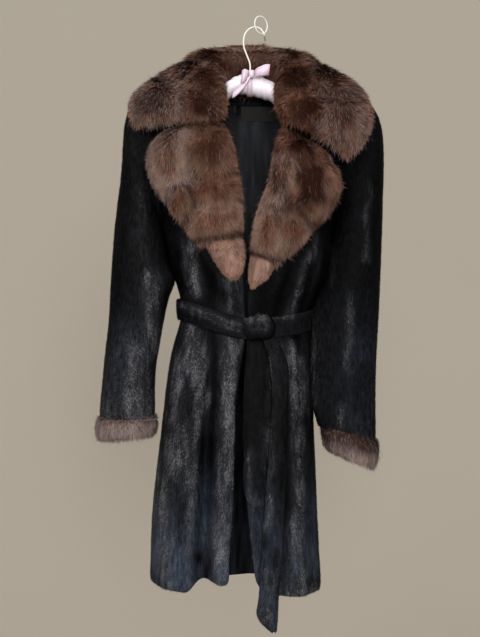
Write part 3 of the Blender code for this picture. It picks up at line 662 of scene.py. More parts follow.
def painted_blue_sheen_at(points):
    """Painted bluish sheen on the fur, in soft patches near the hem and on the sleeves."""
    cloud = 0.55 + 0.75 * noise(points, (34, 34, 46), 57)
    cloud = (cloud + 0.3 * noise(points, (12, 12, 16), 59)).clip(0, 1.2)
    arm = 0.16 * ramp(np.abs(points[:, 0] - COAT_MIDDLE_X), *FAR_ARM) * ramp(-points[:, 2], *CUFFWARD)
    return cloud * np.maximum(ramp(-points[:, 2], *HEM), arm)


def shade_black(skin):
    """The black fur's colours: black, with the painted sheen and shade of the skin under each blade."""

    def shade(places, levels, random):
        count = len(places[0])
        fleck = ramp(noise(places[0], FLECK_SIZE, FLECK_SEED), -0.4, 0.6)
        glow = skin.root_tone * (0.25 + 0.75 * random.random(count) + 0.8 * fleck)
        lit = BLACK_DARK + glow[:, None] * (BLACK_LIT - BLACK_DARK) + painted_blue_sheen_at(places[0])[:, None] * PAINTED_BLUE_SHEEN
        return lit[:, None] * (0.6 + 0.4 * levels)[None, :, None]

    return shade


def shade_glints(skin):
    """Painted glints: hairs painted bright, each by its own luck."""

    def shade(places, levels, random):
        luck = random.random(len(places[0])) ** 3 * skin.root_tone.clip(0.05)
        lit = 0.6 * BLACK_LIT + luck[:, None] * (BLACK_GLINT - BLACK_LIT)
        return lit[:, None] * (0.7 + 0.3 * levels)[None, :, None]

    return shade


def clusters(points, tone):
    """How thickly the hairs painted as glints lie, in fine streaks down the fur where sheen is painted."""
    fine = ramp(noise(points, FLECK_SIZE, FLECK_SEED), -0.2, 0.6)
    broad = ramp(noise(points, (9, 9, 50), 55), -0.4, 0.5)
    return ramp(tone, 0.13, 0.6) * (0.06 + 0.94 * fine) * (0.25 + 0.75 * broad)


def away(axis):
    """The unit vectors that point away from an axis, which is x and y at each height, and up at its top."""
    heights, middle_x, middle_y = np.array(axis, float).T

    def field(points):
        z = points[:, 2].clip(heights[0], heights[-1])
        middle = np.stack([np.interp(z, heights, middle_x), np.interp(z, heights, middle_y), z], 1)
        return unit(points - middle)

    return field


BODY_AXIS = ((-1040, -47, 0), (-740, -41, 0), (-540, -26, 0), (-374, -23, 0), (-215, -20, 0))
RIGHT_ARM_AXIS = (
    (-800, -241, -18), (-717, -239, -18), (-632, -235, -14), (-536, -222, -10), (-440, -213, -7),
    (-300, -214, -3),
)
LEFT_ARM_AXIS = (
    (-800, 158, -18), (-727, 156, -18), (-640, 154, -14), (-536, 158, -10), (-440, 166, -7), (-300, 176, -3),
)
from_body, from_right_arm, from_left_arm = (away(a) for a in (BODY_AXIS, RIGHT_ARM_AXIS, LEFT_ARM_AXIS))


def facing_out(field):
    """How far each point is on a wall's outer sheet, from 0 to 1."""
    return lambda points, normals: ((normals * field(points)).sum(1) * 3 + 0.3).clip(0, 1)


def front_mostly(_, normals):
    """All round, and thinner at the back."""
    return 1.0 - 0.7 * (normals[:, 1] > 0)


def downward(field, spread=0.25):
    """Combed down, and a little away from the axis, where a shoulder is level."""
    return lambda points, normals: np.array([0, 0, -1.0]) + spread * field(points)


def straight_down(points, _):
    return np.broadcast_to(np.array([0, 0, -1.0]), points.shape)


def rumpled(piece, field, inset, seed):
    """Moves a wall's points along the field in soft uneven waves, and takes its outer sheet in."""
    points, normals = points_of(piece), normals_of(piece)
    wave = 1.5 * noise(points, (55, 55, 150), seed) + 0.9 * noise(points, (22, 22, 80), seed + 1)
    wave -= VALLEY_DEPTH * line_strength(points, VALLEYS)
    outer = facing_out(field)(points, normals)
    set_points(piece, points + field(points) * wave[:, None] - normals * (inset * outer)[:, None])


ARM_HALF_WIDTH = 52.0
SLEEVE_LEANS = {
    # which way a sleeve leans on the body, its axis, and how far it leans at each height
    "sleeve_right": (
        1, RIGHT_ARM_AXIS,
        ((-500, 0), (-470, 9), (-440, 10), (-410, 12), (-380, 11), (-335, 0)),
    ),
    "sleeve_left": (
        -1, LEFT_ARM_AXIS,
        ((-740, 10), (-690, 15), (-650, 13), (-590, 14), (-560, 16), (-530, 15), (-500, 11), (-470, 9),
         (-440, 9), (-410, 12), (-380, 12), (-335, 0)),
    ),
}


def leaned(piece, side, axis, leans):
    """Lets a sleeve's inner side rest against the body, where it hangs close by."""
    points = points_of(piece)
    heights, middle_x, _ = np.array(axis, float).T
    x = points[:, 0] - np.interp(points[:, 2], heights, middle_x)
    share = (side * x / ARM_HALF_WIDTH).clip(0, 1) ** 1.5
    points[:, 0] += side * share * np.interp(points[:, 2], *np.array(leans, float).T)
    set_points(piece, points)


def two_sided(piece, outer_material, inner_material, field):
    """One material on a wall's outer sheet and another on its inner one."""
    piece.data.materials.append(outer_material)
    piece.data.materials.append(inner_material)
    faces = piece.data.polygons
    inner = (vectors(faces, "normal") * field(vectors(faces, "center") / MM)).sum(1) < -0.5
    faces.foreach_set("material_index", inner.astype(np.int32))


GLINTS_A_SQUARE_MM = 2.8


def pile_on(piece, grows, blades, comb, seed, lines=SHEEN_LINES, relief=1.0, least=0.0):
    """Two coats of black fur, one of them painted glints, on a skin painted with the same sheen and shade.
    """
    points, name = points_of(piece), piece.name.removesuffix("_skin")
    tone = (least + painted_light_of(points, relief * bulge(piece), lines)).clip(0)
    base = BLACK_DARK + 0.6 * tone[:, None] * (BLACK_LIT - BLACK_DARK)
    paint(piece, base + 0.8 * painted_blue_sheen_at(points)[:, None] * PAINTED_BLUE_SHEEN)
    skin = Skin(piece, grows, tone)
    bright = Skin(piece, lambda p, n: grows(p, n) * clusters(p, tone), tone)
    count = round(GLINTS_A_SQUARE_MM * bright.area)
    return [
        grow(name + "_fur", skin, blades, comb, SHEARED, shade_black(skin), BLACK_FUR, seed),
        grow(name + "_glints", bright, count, comb, GLINTS, shade_glints(bright), BLACK_FUR, seed + 50),
    ]


PANEL_INSET = 0.9
SHEARED_PANELS = (
    # node, field, levels, blades, the cut's widest width and its length in metres, and its area
    ("front_right", from_body, 2, 40000, (0.21, 0.93), 0.153),
    ("front_left", from_body, 2, 40000, (0.18, 0.93), 0.144),
    ("back", from_body, 1, 50000, (0.42, 0.93), 0.320),
    ("sleeve_right", from_right_arm, 2, 27000, (0.31, 0.59), 0.146),
    ("sleeve_left", from_left_arm, 2, 27000, (0.31, 0.62), 0.157),
)


def build_sheared():
    for seed, (node_name, field, levels, blades, flat, area) in enumerate(SHEARED_PANELS, 100):
        panel = refined(node_name, node_name + "_skin", levels)
        rumpled(panel, field, PANEL_INSET, seed)
        if node_name in SLEEVE_LEANS:
            leaned(panel, *SLEEVE_LEANS[node_name])
        two_sided(panel, BLACK_SKIN, LINING, field)
        coats = pile_on(panel, facing_out(field), blades, downward(field), seed)
        finish("sheared_fur", panel, *coats)


def around(points, _):
    """Combed along the belt, round the waist."""
    return np.cross(from_body(points), np.array([0, 0, 1.0]))


# How much of the painted sheen on raised folds the belt takes.
BELT_RELIEF = 0.5
BELT_PARTS = (
    # node, least painted sheen, blades, comb, where it grows, flat width and length in metres, held how, on
    # what
    ("belt", 0.04, 9000, around, facing_out(from_body), (0.034, 0.66), "draped", "back_skin"),
    ("belt_knot", 0.05, 3500, around, front_mostly, (0.07, 0.045), "folded", "belt_skin"),
    ("belt_end_long", 0.05, 8000, straight_down, front_mostly, (0.035, 0.50), "hung", "belt_knot_skin"),
    ("belt_end_short", -0.03, 5000, straight_down, front_mostly, (0.04, 0.28), "hung", "belt_knot_skin"),
)


def build_belt():
    for seed, (node_name, least, blades, comb, grows, flat, held, below) in enumerate(BELT_PARTS, 200):
        band = refined(node_name, node_name + "_skin", 2)
        points = points_of(band)
        trough = KNOT_CREASE_DEPTH * line_strength(points, KNOT_CREASES)
        set_points(band, points - normals_of(band) * trough[:, None])
        band.data.materials.append(BLACK_SKIN)
        coats = pile_on(band, grows, blades, comb, seed, BELT_SHEEN_LINES, BELT_RELIEF, least)
        finish("sheared_fur", band, *coats)


# ---- the brown long-haired fur ----

BROWN = np.array([[0.030, 0.010, 0.005], [0.13, 0.047, 0.024], [0.20, 0.090, 0.056]])
CUFF_BROWN = np.array([[0.08, 0.056, 0.050], [0.18, 0.130, 0.122], [0.27, 0.212, 0.205]])
TIP_BROWN = np.array([[0.12, 0.06, 0.04], [0.26, 0.145, 0.105], [0.33, 0.2, 0.155]])
GUARD_BROWN = np.array([[0.07, 0.035, 0.024], [0.17, 0.1, 0.075], [0.3, 0.235, 0.2]])
DARK_BROWN = np.array([0.022, 0.0065, 0.0035])
PALE_BROWN = np.array([0.27, 0.17, 0.13])
SILVER = np.array([0.32, 0.28, 0.27])

# The pelts of the collar and lapels, seen from the front: the middle and reach of each, then how dark its
# heart is, how pale its rim is and how many silver hairs it has.
PELTS = np.array(
    (
        (-185, -165, 43, 50, 0.55, 0.35, 0.9), (-134, -106, 41, 24, 0.55, 0.15, 0.7),
        (-93, -130, 32, 34, 0.5, 0.45, 0.05), (-100, -180, 38, 27, 0.6, 0.25, 0.15),
        (-76, -82, 55, 19, 0.45, 0.3, 0.1), (-17, -89, 41, 19, 0.6, 0.15, 0),
        (48, -86, 44, 19, 0.2, 0.9, 0.1), (56, -127, 38, 34, 0.75, 0.2, 0),
        (122, -120, 43, 36, 0.5, 0.2, 0.5), (139, -202, 44, 51, 0.4, 0.15, 0.8),
        (70, -190, 38, 34, 0.7, 0.15, 0.05), (-86, -254, 41, 44, 0.5, 0.35, 0.05),
        (-158, -271, 31, 62, 0.1, 0.85, 0.9), (-82, -322, 46, 24, 0.35, 0.35, 0.05),
        (-82, -377, 51, 31, 0.05, 0.95, 0.15), (-139, -348, 27, 34, 0.2, 0.75, 0.3),
        (65, -252, 44, 26, 0.8, 0.2, 0.05), (29, -305, 24, 48, 0.5, 0.45, 0.6),
        (86, -316, 42, 54, 1.0, 0.4, 0.05), (7, -400, 27, 41, 0.1, 0.9, 0.4),
        (51, -394, 34, 41, 0.15, 0.95, 0.15),
    )
)
# How far the rims of the pelts wander, how wide the creases between them are, and a pelt's size at the
# back, which begins from one y to the other.
PELT_DRIFT, PELT_DRIFT_SIZE, CREASE_WIDTH = 12.0, (23, 23, 23), 0.32
BACK_PELT, BACK_PELT_SEED, BACK_BEGINS = 62.0, 64, (15, 40)
NECK_X, NECK_Y = -20.0, 15.0
# The heights of the seams above the lapel tips and the cuffs, which slope but for the right cuff's, and
# how wide the dark fur along the tips' seams is.
RIGHT_TIP_TOP, LEFT_TIP_TOP, TIP_SEAM_WIDTH = -402, -436, 5
RIGHT_CUFF_TOP = -716.0
LEFT_CUFF_TOP, LEFT_CUFF_X, LEFT_CUFF_SLOPE = -738.0, 111.0, 0.28


def pelt_places(points):
    """Each point's place across its pelt, with 1 at the rim, how near it is to a crease, and which pelt."""
    drift = np.stack([noise(points, PELT_DRIFT_SIZE, 66), noise(points, PELT_DRIFT_SIZE, 67)], 1)
    at = points[:, [0, 2]] + PELT_DRIFT * drift
    places = (at[:, None] - PELTS[:, :2]) / PELTS[:, 2:4]
    gaps = np.linalg.norm(places, axis=2)
    chosen = gaps.argmin(1)
    nearest, second = np.partition(gaps, 1, axis=1)[:, :2].T
    crease = np.exp(-(((second - nearest) / CREASE_WIDTH) ** 2))
    crease *= 0.25 + 0.75 * ramp(noise(points, (34, 34, 34), 68), -0.45, 0.4)
    return places[np.arange(len(points)), chosen], crease, chosen


def by_side(points, front, back):
    """A value of the collar's front, which goes over into another towards its back."""
    share = ramp(points[:, 1], *BACK_BEGINS)
    return front * (1 - share) + back * share


def across_back_pelt(points):
    """How far out on a pelt of the collar's back each point is, with 1 near the rim."""
    place = (points - nearest_lock(points, BACK_PELT, BACK_PELT_SEED)) / (BACK_PELT / 2)
    return np.linalg.norm(place, axis=1)


def creases(points):
    """How deep in a crease between pelts each point is, from 0 to 1."""
    return by_side(points, pelt_places(points)[1], ramp(across_back_pelt(points), 0.75, 1.05))


def tip_seam(points):
    """How dark the fur is along the seams where the lapels end and their tips begin."""
    x = points[:, 0]
    top = np.where(x < NECK_X, RIGHT_TIP_TOP + 0.15 * (x + 60), LEFT_TIP_TOP - 0.3 * x)
    return 0.75 * np.exp(-(((points[:, 2] - top) / TIP_SEAM_WIDTH) ** 2))


def pelt_marks(points):
    """How dark, pale and silvery the collar's pelts are at each point, partly as painted shade and light."""
    place, crease, chosen = pelt_places(points)
    heart, rim, silver = PELTS[chosen, 4:].T
    out = np.linalg.norm(place, axis=1)
    # Hearts and rims are partly the pelts' own colour and partly painted shade and light.
    heart = heart * (1 - ramp(out + 0.25 * noise(points, (12, 12, 18), 69), 0.25, 1.15))
    rim = rim * (1.1 * ramp(out, 0.3, 0.95) + 0.7 * (-place[:, 1]).clip(0, 1))
    # Painted shade in the creases between pelts.
    front = np.stack([
        np.maximum(heart, 0.55 * crease + tip_seam(points)),
        rim.clip(0, 0.95),
        silver * (0.5 + 0.5 * ramp(out, 0.2, 0.9)),
    ])
    out = across_back_pelt(points)
    # At the back: painted light on the collar's top, painted shade in the neck's hollow and the creases.
    lit_crest = ramp(points[:, 2], -88, -66)
    hollow = ramp(points[:, 2], -150, -125) * (1 - lit_crest) * (points[:, 1] < 75)
    dark = np.maximum(0.35 * (1 - ramp(out, 0.2, 0.9)), 0.35 * ramp(out, 0.85, 1.15))
    back = np.stack([
        dark * (1 - lit_crest) + 0.5 * hollow, 0.25 * ramp(out, 0.5, 1) + 0.3 * lit_crest, 0.2 + 0.7 * lit_crest
    ])
    return by_side(points, front, back)


def tip_marks(points):
    """A lapel tip is dark along the seam at its top, and mottled below it."""
    fleck = 0.25 * ramp(noise(points, (6, 6, 8), 74), 0.0, 0.8)
    pale = 0.15 * ramp(noise(points, (9, 9, 14), 75), -0.3, 0.7)
    return np.stack([tip_seam(points) + fleck, pale, np.full(len(points), 0.05)])


def cuff_marks(points):
    """A cuff is darker near its sleeve, above all the left one, and pale along its lower edge."""
    right = points[:, 0] < 0
    left_top = LEFT_CUFF_TOP - LEFT_CUFF_SLOPE * (points[:, 0] - LEFT_CUFF_X)
    low = ramp(np.where(right, RIGHT_CUFF_TOP, left_top) - points[:, 2], 8, 36)
    spots = ramp(noise(points, (16, 16, 14), 77), -0.2, 0.6)
    dark = np.where(right, 0.12, 0.6) * (1 - low) + np.where(right, 0.0, 0.28) * spots
    return np.stack([dark, np.where(right, 0.25, 0.3) * low, np.full(len(points), 0.3)])


def shade_brown(ramp_colours, marks, mottle=0.2):
    """Colours that go from root to end by a ramp, and are dark, pale or silvery where the marks say."""

    def shade(places, levels, random):
        roots, count = places[0], len(places[0])
        found = np.stack([marks(place) for place in places[::2]], 2)
        dark, pale, silver = np.repeat(found, 2, axis=2)[:, :, : len(levels)]
        lightness = 1 + mottle * noise(roots, (28, 28, 28), 61) + 0.25 * noise(roots, (7, 7, 12), 62)
        lightness = (lightness + 0.22 * random.uniform(-1, 1, count)).clip(0.3)
        ramp_at = np.stack([np.interp(levels * 2, [0, 1, 2], ramp_colours[:, k]) for k in range(3)], 1)
        colours = ramp_at[None] * lightness[:, None, None]
        colours = colours + (pale * levels)[:, :, None] * (PALE_BROWN - colours)
        colours = colours + (1.5 * dark).clip(0, 0.95)[:, :, None] * (DARK_BROWN - colours)
        guard = (random.random(count) < 0.7 * silver.mean(1) + 0.01) * random.uniform(0.3, 1, count)
        return colours + (guard[:, None] * levels**1.5)[:, :, None] * (SILVER - colours)

    return shade


# How far a padded solid's rims go in, and the most that a point may, as shares of the thickness: at a rim
# or a crease, on an outer face and on an inner one.
RIM_INSET, RIM_MOST, OUTER_MOST, INNER_MOST = 2.5, 0.3, 0.7, 0.22
# A thickness is looked for from this far under the surface, and up to this far in.
SKIN_DEPTH, THICKEST = 0.05, 60.0


def thickness_of(piece):
    """How thick a piece is under each of its points."""
    points, normals = points_of(piece), normals_of(piece)
    tree = BVHTree.FromPolygons(points.tolist(), [tuple(face.vertices) for face in piece.data.polygons])
    hits = [tree.ray_cast(p - n * SKIN_DEPTH, -n, THICKEST) for p, n in zip(points, normals)]
    return np.array([distance or 0 for *_, distance in hits])


def thinned(piece, field, share, most, crease_depth=0.0):
    """Takes the faces of a padded solid in by a share of its thickness, to leave room for its fur, further
    in along the creases between pelts, and its rims by less."""
    points, normals, thick = points_of(piece), normals_of(piece), thickness_of(piece)
    facing = (normals * field(points)).sum(1)
    on_face = ramp(np.abs(facing), 0.15, 0.75)
    depth = np.minimum(share * thick, most) * on_face
    depth = depth + np.minimum(RIM_INSET, RIM_MOST * thick) * (1 - on_face)
    if crease_depth:
        depth += np.minimum(crease_depth, RIM_MOST * thick) * creases(points) * on_face
    depth = np.minimum(depth, np.where(facing > 0, OUTER_MOST, INNER_MOST) * thick)
    set_points(piece, points - normals * depth[:, None])


NECK_MIDDLE = np.array([NECK_X, NECK_Y, 0.0])


def fluffed(points, _):
    """Combed down and out from each pelt's middle, and at the back away from the neck."""
    place = pelt_places(points)[0].clip(-1.3, 1.3)
    front = np.stack([0.8 * place[:, 0], np.zeros(len(points)), 0.45 * place[:, 1] - 1])
    back = unit((points - NECK_MIDDLE) * np.array([1, 0.8, 0])) + np.array([0, 0, -0.6])
    return by_side(points, front, back.T).T


def outer_mostly(field, least=0.15):
    return lambda points, normals: ((normals * field(points)).sum(1) * 2 + 0.8).clip(least, 1)


def outer_or_hollow(points, normals):
    """Where the collar's fur grows: on its outer face, and inside the neck, where it shows."""
    hollow = (normals[:, 1] < -0.3) & (points[:, 2] > -150) & (np.abs(points[:, 0] - NECK_X) < 75)
    return np.maximum(outer_mostly(from_body)(points, normals), 0.9 * hollow)


def in_region(grows, region):
    return lambda points, normals: grows(points, normals) * region(points)


def short_in_creases(points):
    return 1 - 0.45 * creases(points)


def furred(node_name, skin, coats, seed, trim=None):
    """The coats of fur on one skin, each a name's ending, blades, comb, style, shade and material."""
    return [
        grow(f"{node_name}_{ending}", skin, *coat, seed + k, node_name, trim)
        for k, (ending, *coat) in enumerate(coats)
    ]


def pelt_coats(blades, guards, side=""):
    """The collar's and lapels' two coats: the long fur, and the guard hairs that stand out of it."""
    return (
        ("fur" + side, blades, fluffed, LONG, shade_brown(BROWN, pelt_marks), BROWN_FUR),
        ("guard" + side, guards, fluffed, GUARD, shade_brown(GUARD_BROWN, pelt_marks), BROWN_FUR),
    )


COLLAR_REGIONS = (
    # side, blades, guard hairs and where they grow
    ("_right", 17000, 2500, lambda p: (p[:, 0] < -62) & (p[:, 1] < 30)),
    ("_left", 17000, 2500, lambda p: (p[:, 0] > 22) & (p[:, 1] < 30)),
    ("_back", 18000, 2500, lambda p: (p[:, 1] >= 30) | (abs(p[:, 0] - NECK_X) <= 42)),
)


def build_collar():
    base = refined("upper_collar", "upper_collar_skin", 2)
    thinned(base, from_body, 0.36, 11.0, 9.0)
    base.data.materials.append(BROWN_SKIN)
    furs = []
    for k, (side, blades, guards, region) in enumerate(COLLAR_REGIONS):
        skin = Skin(base, in_region(outer_or_hollow, region))
        coats = pelt_coats(blades, guards, side)
        furs += furred("upper_collar", skin, coats, 300 + 10 * k, short_in_creases)
    finish("long_fur", base, *furs)


def build_trim(node_name, slot_name, coats, field, least, take_in, seed, trim=None):
    """A small furred piece: its thinned skin and its coats of fur."""
    base = refined(node_name, node_name + "_skin", 2)
    thinned(base, field, *take_in)
    base.data.materials.append(BROWN_SKIN)
    furs = furred(node_name, Skin(base, outer_mostly(field, least)), coats, seed, trim)
    finish(slot_name, base, *furs)


LAPELS = (
    # side, the flat sizes of the lapel and of its tip, in metres
    ("right", (0.14, 0.22), (0.065, 0.075)),
    ("left", (0.13, 0.23), (0.044, 0.063)),
)


def build_lapels():
    long_coats = pelt_coats(17500, 3500)
    tip_coats = (("fur", 6000, straight_down, SHORT, shade_brown(TIP_BROWN, tip_marks, 0.35), PALE_FUR),)
    for k, (side, flat, tip_flat) in enumerate(LAPELS):
        build_trim(
            "lapel_" + side, "long_fur", long_coats, from_body, 0.03, (0.36, 10.0, 8.0),
            340 + 10 * k, short_in_creases,
        )
        build_trim(
            "lapel_tip_" + side, "tip_fur", tip_coats, from_body, 0.03, (0.2, 3.0),
            360 + 10 * k,
        )


CUFFS = (
    # side, field, flat size in metres
    ("right", from_right_arm, (0.34, 0.045)),
    ("left", from_left_arm, (0.34, 0.05)),
)


def build_cuffs():
    for k, (side, field, flat) in enumerate(CUFFS):
        comb = downward(field, 0.15)
        coats = (
            ("fur", 10000, comb, CUFF_PILE, shade_brown(CUFF_BROWN, cuff_marks), PALE_FUR),
            ("guard", 500, comb, GUARD, shade_brown(GUARD_BROWN, cuff_marks), PALE_FUR),
        )
        build_trim(
            "cuff_" + side, "cuff_fur", coats, field, 0.1, (0.3, 5.0),
            380 + 10 * k,
        )


# ---- the lining and labels ----


def build_lining():
    lining = refined("back_lining", "back_lining_satin", 2)
    points = points_of(lining)
    folds = 1.6 * noise(points, (13, 60, 140), 71) + 0.6 * noise(points, (6, 40, 60), 72)
    set_points(lining, points + np.array([0, 1.0, 0]) * folds[:, None])
    lining.data.materials.append(LINING)
    finish("satin_lining", lining)


LABELS = (
    # the tab is 5 mm wide, but a flat width can't be under 10 mm, so its area says the true size
    ("neck_label", (0.074, 0.029), 0.0021),
    ("size_tab", (0.010, 0.014), 0.00007),
)


def build_labels():
    for node_name, flat, area in LABELS:
        label = refined(node_name, node_name + "_cloth", 0)
        label.data.materials.append(LABEL_CLOTH)
        finish("woven_label", label)


# ---- the hanger ----

BOW_X, PINCH_Z = -18.0, -122.0
# The pleats of the fan for each radian, and millimetres for each upright one.
FAN_PLEATS, PLEAT_WIDTH = 7.5, 5.0
# How far from the bow the gathers are strong and the cover is cinched, and how deep the cinch is.
GATHERED, CINCHED, CINCH_DEPTH = 55, 7, 1.6


def pleats(points):
    """Where a pad's pleats lie: fanning out from the bow on one side, and upright on the other."""
    across_x, up = points[:, 0] - BOW_X, points[:, 2] - PINCH_Z
    fan = np.arctan2(up, -across_x) * FAN_PLEATS
    share = ramp(across_x, -14, 6)
    return fan * (1 - share) + (across_x / PLEAT_WIDTH + 0.12 * up / PLEAT_WIDTH) * share


def build_pad():
    cover = refined("hanger_pad", "hanger_pad_cover", 3)
    points, normals = points_of(cover), normals_of(cover)
    off_bow = points[:, 0] - BOW_X
    fine = np.stack([pleats(points), points[:, 1] / 30, np.sign(points[:, 1]) * 0.5], 1)
    gathers = 2.0 * noise(fine, (1.1, 1, 1), 81) + 1.2 * noise(fine, (0.6, 1, 1), 82)
    strength = 0.45 + 0.55 * np.exp(-((off_bow / GATHERED) ** 2))
    out = (gathers * strength).clip(-2.8, 1.2) - CINCH_DEPTH * np.exp(-((off_bow / CINCHED) ** 2))
    puffed = 3.5 * ramp(-points[:, 0], 20, 38) * ramp(points[:, 0], -75, -50)
    set_points(cover, points + normals * out[:, None] + np.array([0, 0, 1.0]) * puffed[:, None])
    cover.data.materials.append(PINK_SATIN)
    finish("pink_satin", cover)


def strip(line, half_widths, thickness=0.7):
    """The points and faces of a ribbon along a line, from half its width as a vector at each point."""
    line, half = np.array(line, float), np.array(half_widths, float)
    ahead = unit(np.gradient(line, axis=0))
    out = unit(np.cross(ahead, half)) * thickness / 2
    rings = np.stack([line - half - out, line + half - out, line + half + out, line - half + out], 1)
    faces = []
    for i in range(len(line) - 1):
        a, b = 4 * i, 4 * (i + 1)
        faces += [(a + k, a + (k + 1) % 4, b + (k + 1) % 4, b + k) for k in range(4)]
    last = 4 * (len(line) - 1)
    faces += [(3, 2, 1, 0), (last, last + 1, last + 2, last + 3)]
    return rings.reshape(-1, 3), np.array(faces)


def smooth_line(knots, count):
    """Points along a smooth curve through knots."""
    knots = np.array(knots, float)
    at = np.linspace(0, len(knots) - 1.0001, count)
    first = at.astype(int)
    part = (at - first)[:, None]
    padded = np.concatenate([2 * knots[:1] - knots[1:2], knots, 2 * knots[-1:] - knots[-2:-1]])
    a, b, c, d = (padded[first + k] for k in range(4))
    curve = 2 * b + (c - a) * part + (2 * a - 5 * b + 4 * c - d) * part**2
    return 0.5 * (curve + (3 * b - a - 3 * c + d) * part**3)


BOW_LOOPS = (
    # the ribbon's middle line from the knot and back to it, and half its width up at each of its knots
    (
        ((-14, -24, -107), (-7, -29, -105), (3, -32, -103), (12, -30, -101), (14, -25.5, -101),
         (6, -22.5, -103), (-5, -21.5, -105), (-14, -22, -107)),
        (3.5, 8.0, 9.5, 9.8, 9.5, 8.5, 6.5, 3.5),
    ),
    (
        ((-21, -24, -108), (-25, -29, -110), (-30, -31.5, -112), (-34, -29, -113), (-35, -25.5, -113),
         (-31, -23, -112), (-26, -22, -110), (-21, -22, -108)),
        (3.5, 8.5, 11.5, 12.0, 11.5, 9.5, 7.0, 3.5),
    ),
    (
        ((-19, -28, -112), (-24, -28.5, -119), (-32, -27, -129), (-42, -26, -139), (-51, -25, -145)),
        (3.0, 4.5, 6.0, 6.6, 6.8),
    ),
)


BOW_STEPS = 28
BOW_LEAN = np.array([0.12, 0.05, 1.0])


def round_band(middle, radii, x, half_width, count=40):
    """A ribbon that goes right round along X."""
    turns = np.linspace(0, 2 * math.pi, count)
    y, z = middle[0] + radii[0] * np.sin(turns), middle[1] + radii[1] * np.cos(turns)
    return strip(np.stack([np.full(count, x), y, z], 1), np.tile([half_width, 0, 0], (count, 1)))


def bow_loop(knots, halves):
    """A loop or tail of the bow, from its middle line and half its width along it."""
    along = np.linspace(0, 1, BOW_STEPS)
    half = np.interp(along, np.linspace(0, 1, len(halves)), halves)
    gather = 1 + 0.04 * np.sin(np.arange(BOW_STEPS) * 0.9)
    return strip(smooth_line(knots, BOW_STEPS), (half * gather)[:, None] * BOW_LEAN)


def build_bow():
    parts = [bow_loop(*loop) for loop in BOW_LOOPS]
    parts.append(round_band(middle=(-26.0, -108.0), radii=(4.0, 6.5), x=-17.5, half_width=4.2))
    parts.append(round_band(middle=(0.0, -124.5), radii=(21.2, 19.2), x=-20.5, half_width=4.6))
    points = np.concatenate([p for p, _ in parts])
    starts = np.cumsum([0] + [len(p) for p, _ in parts[:-1]])
    faces = np.concatenate([f + start for (_, f), start in zip(parts, starts)])
    bow = new_mesh("hanger_bow_ribbon", points, faces)
    bow.data.materials.append(RIBBON)
    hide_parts("hanger_bow")
    finish("pink_satin", bow)


WIRE_CREAM = np.array([0.80, 0.78, 0.68])
WIRE_END_SHADE = np.array([0.12, 0.10, 0.09])
RING_WHITE = np.array([0.80, 0.80, 0.78])


def build_wire():
    hook = refined("hanger_hook", "hanger_hook_wire", 1)
    points = points_of(hook)
    # Painted shade on the hook's end.
    tip = ramp(points[:, 0], 2, 5) * ramp(-points[:, 2], 31, 35) * (points[:, 2] > -50)
    paint(hook, WIRE_CREAM + tip[:, None] * (WIRE_END_SHADE - WIRE_CREAM))
    ring = refined("hanging_ring", "hanging_ring_coated", 1)
    paint(ring, np.tile(RING_WHITE, (len(ring.data.vertices), 1)))
    for piece in (hook, ring):
        piece.data.materials.append(COATED_WIRE)
    finish("coated_wire", hook, ring)


build_sheared()
build_belt()
build_collar()
build_lapels()
build_cuffs()
build_lining()
build_labels()
build_pad()
build_bow()
build_wire()


# ---- floor, light and camera ----


def stage_material():
    made, tree, shader = shader_of("backdrop")
    colour = between(tree, clouds(tree, (1, 1, 1), 3.0), (0.286, 0.256, 0.210), (0.292, 0.262, 0.215))
    set_shader(tree, shader, Base_Color=colour, Roughness=0.9)
    return made


FLOOR_Z, FLOOR_FRONT, HALF_WIDTH = -2300.0, -6000.0, 5000.0
WALL_Y, WALL_TOP, SWEEP_RADIUS = 2500.0, 4000.0, 300.0


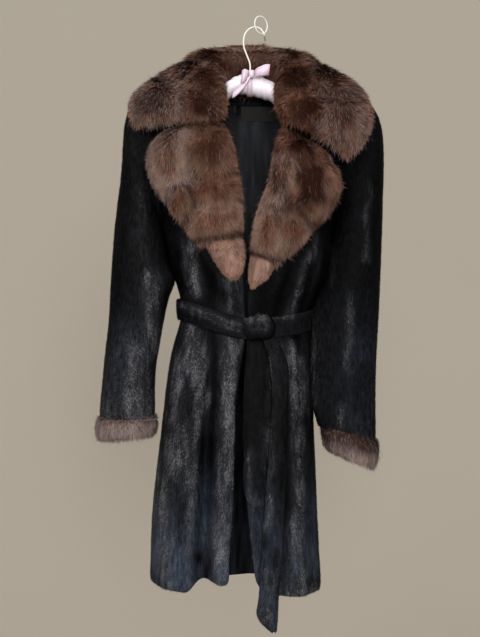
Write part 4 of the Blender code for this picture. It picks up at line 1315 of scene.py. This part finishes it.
def build_stage():
    """A floor that sweeps up into a backdrop."""
    floor_y = WALL_Y - SWEEP_RADIUS
    sweep = [
        (floor_y + SWEEP_RADIUS * math.sin(t), FLOOR_Z + SWEEP_RADIUS * (1 - math.cos(t)))
        for t in np.linspace(0, math.pi / 2, 24)
    ]
    profile = [(FLOOR_FRONT, FLOOR_Z), *sweep, (WALL_Y, WALL_TOP)]
    points = [(x, y, z) for y, z in profile for x in (-HALF_WIDTH, HALF_WIDTH)]
    faces = [(2 * i, 2 * i + 1, 2 * i + 3, 2 * i + 2) for i in range(len(profile) - 1)]
    backdrop = new_mesh("backdrop", points, faces)
    backdrop.data.materials.append(stage_material())


LAMPS = (
    # name, the side that the light comes from, strength, softness in degrees and colour
    ("key", (-1.2, -2.0, 1.6), 1.3, 35, (1.0, 0.985, 0.96)),
    ("front", (0.1, -2.0, 0.25), 2.1, 25, (1.0, 0.99, 0.98)),
    ("fill", (1.8, -1.6, 0.6), 0.4, 60, (0.95, 0.97, 1.0)),
)


AIR_COLOUR, AIR_STRENGTH = (1.0, 0.985, 0.96, 1), 0.42


def build_lights():
    world = bpy.data.worlds.new("studio")
    bpy.context.scene.world = world
    world.use_nodes = True
    air = world.node_tree.nodes["Background"]
    plug(world.node_tree, air, {"Color": AIR_COLOUR, "Strength": AIR_STRENGTH})
    for name, place, strength, softness, colour in LAMPS:
        data = bpy.data.lights.new(name, "SUN")
        data.energy = strength
        data.angle = math.radians(softness)
        data.color = colour
        lamp = linked(name, data)
        lamp.location = place
        lamp.rotation_euler = (
            math.atan2(math.hypot(place[0], place[1]), place[2]),
            0,
            math.atan2(-place[1], -place[0]) - math.pi / 2,
        )


# The camera's picture is as high as the photo, 637 pixels, at 1.8 mm a pixel, all in metres.
CAMERA_DISTANCE, SENSOR_MM = 2.0, 24.0
CAMERA_X, CAMERA_Z = -0.0378, -0.5427
VIEW_HEIGHT = 637 * 0.0018


def build_camera():
    data = bpy.data.cameras.new("camera")
    data.sensor_fit = "VERTICAL"
    data.sensor_height = SENSOR_MM
    data.lens = SENSOR_MM * CAMERA_DISTANCE / VIEW_HEIGHT
    camera = linked("camera", data)
    camera.location = (CAMERA_X, -CAMERA_DISTANCE, CAMERA_Z)
    camera.rotation_euler = (math.pi / 2, 0, 0)
    bpy.context.scene.camera = camera


build_stage()
build_lights()
build_camera()
bpy.context.scene.view_settings.view_transform = "Standard"
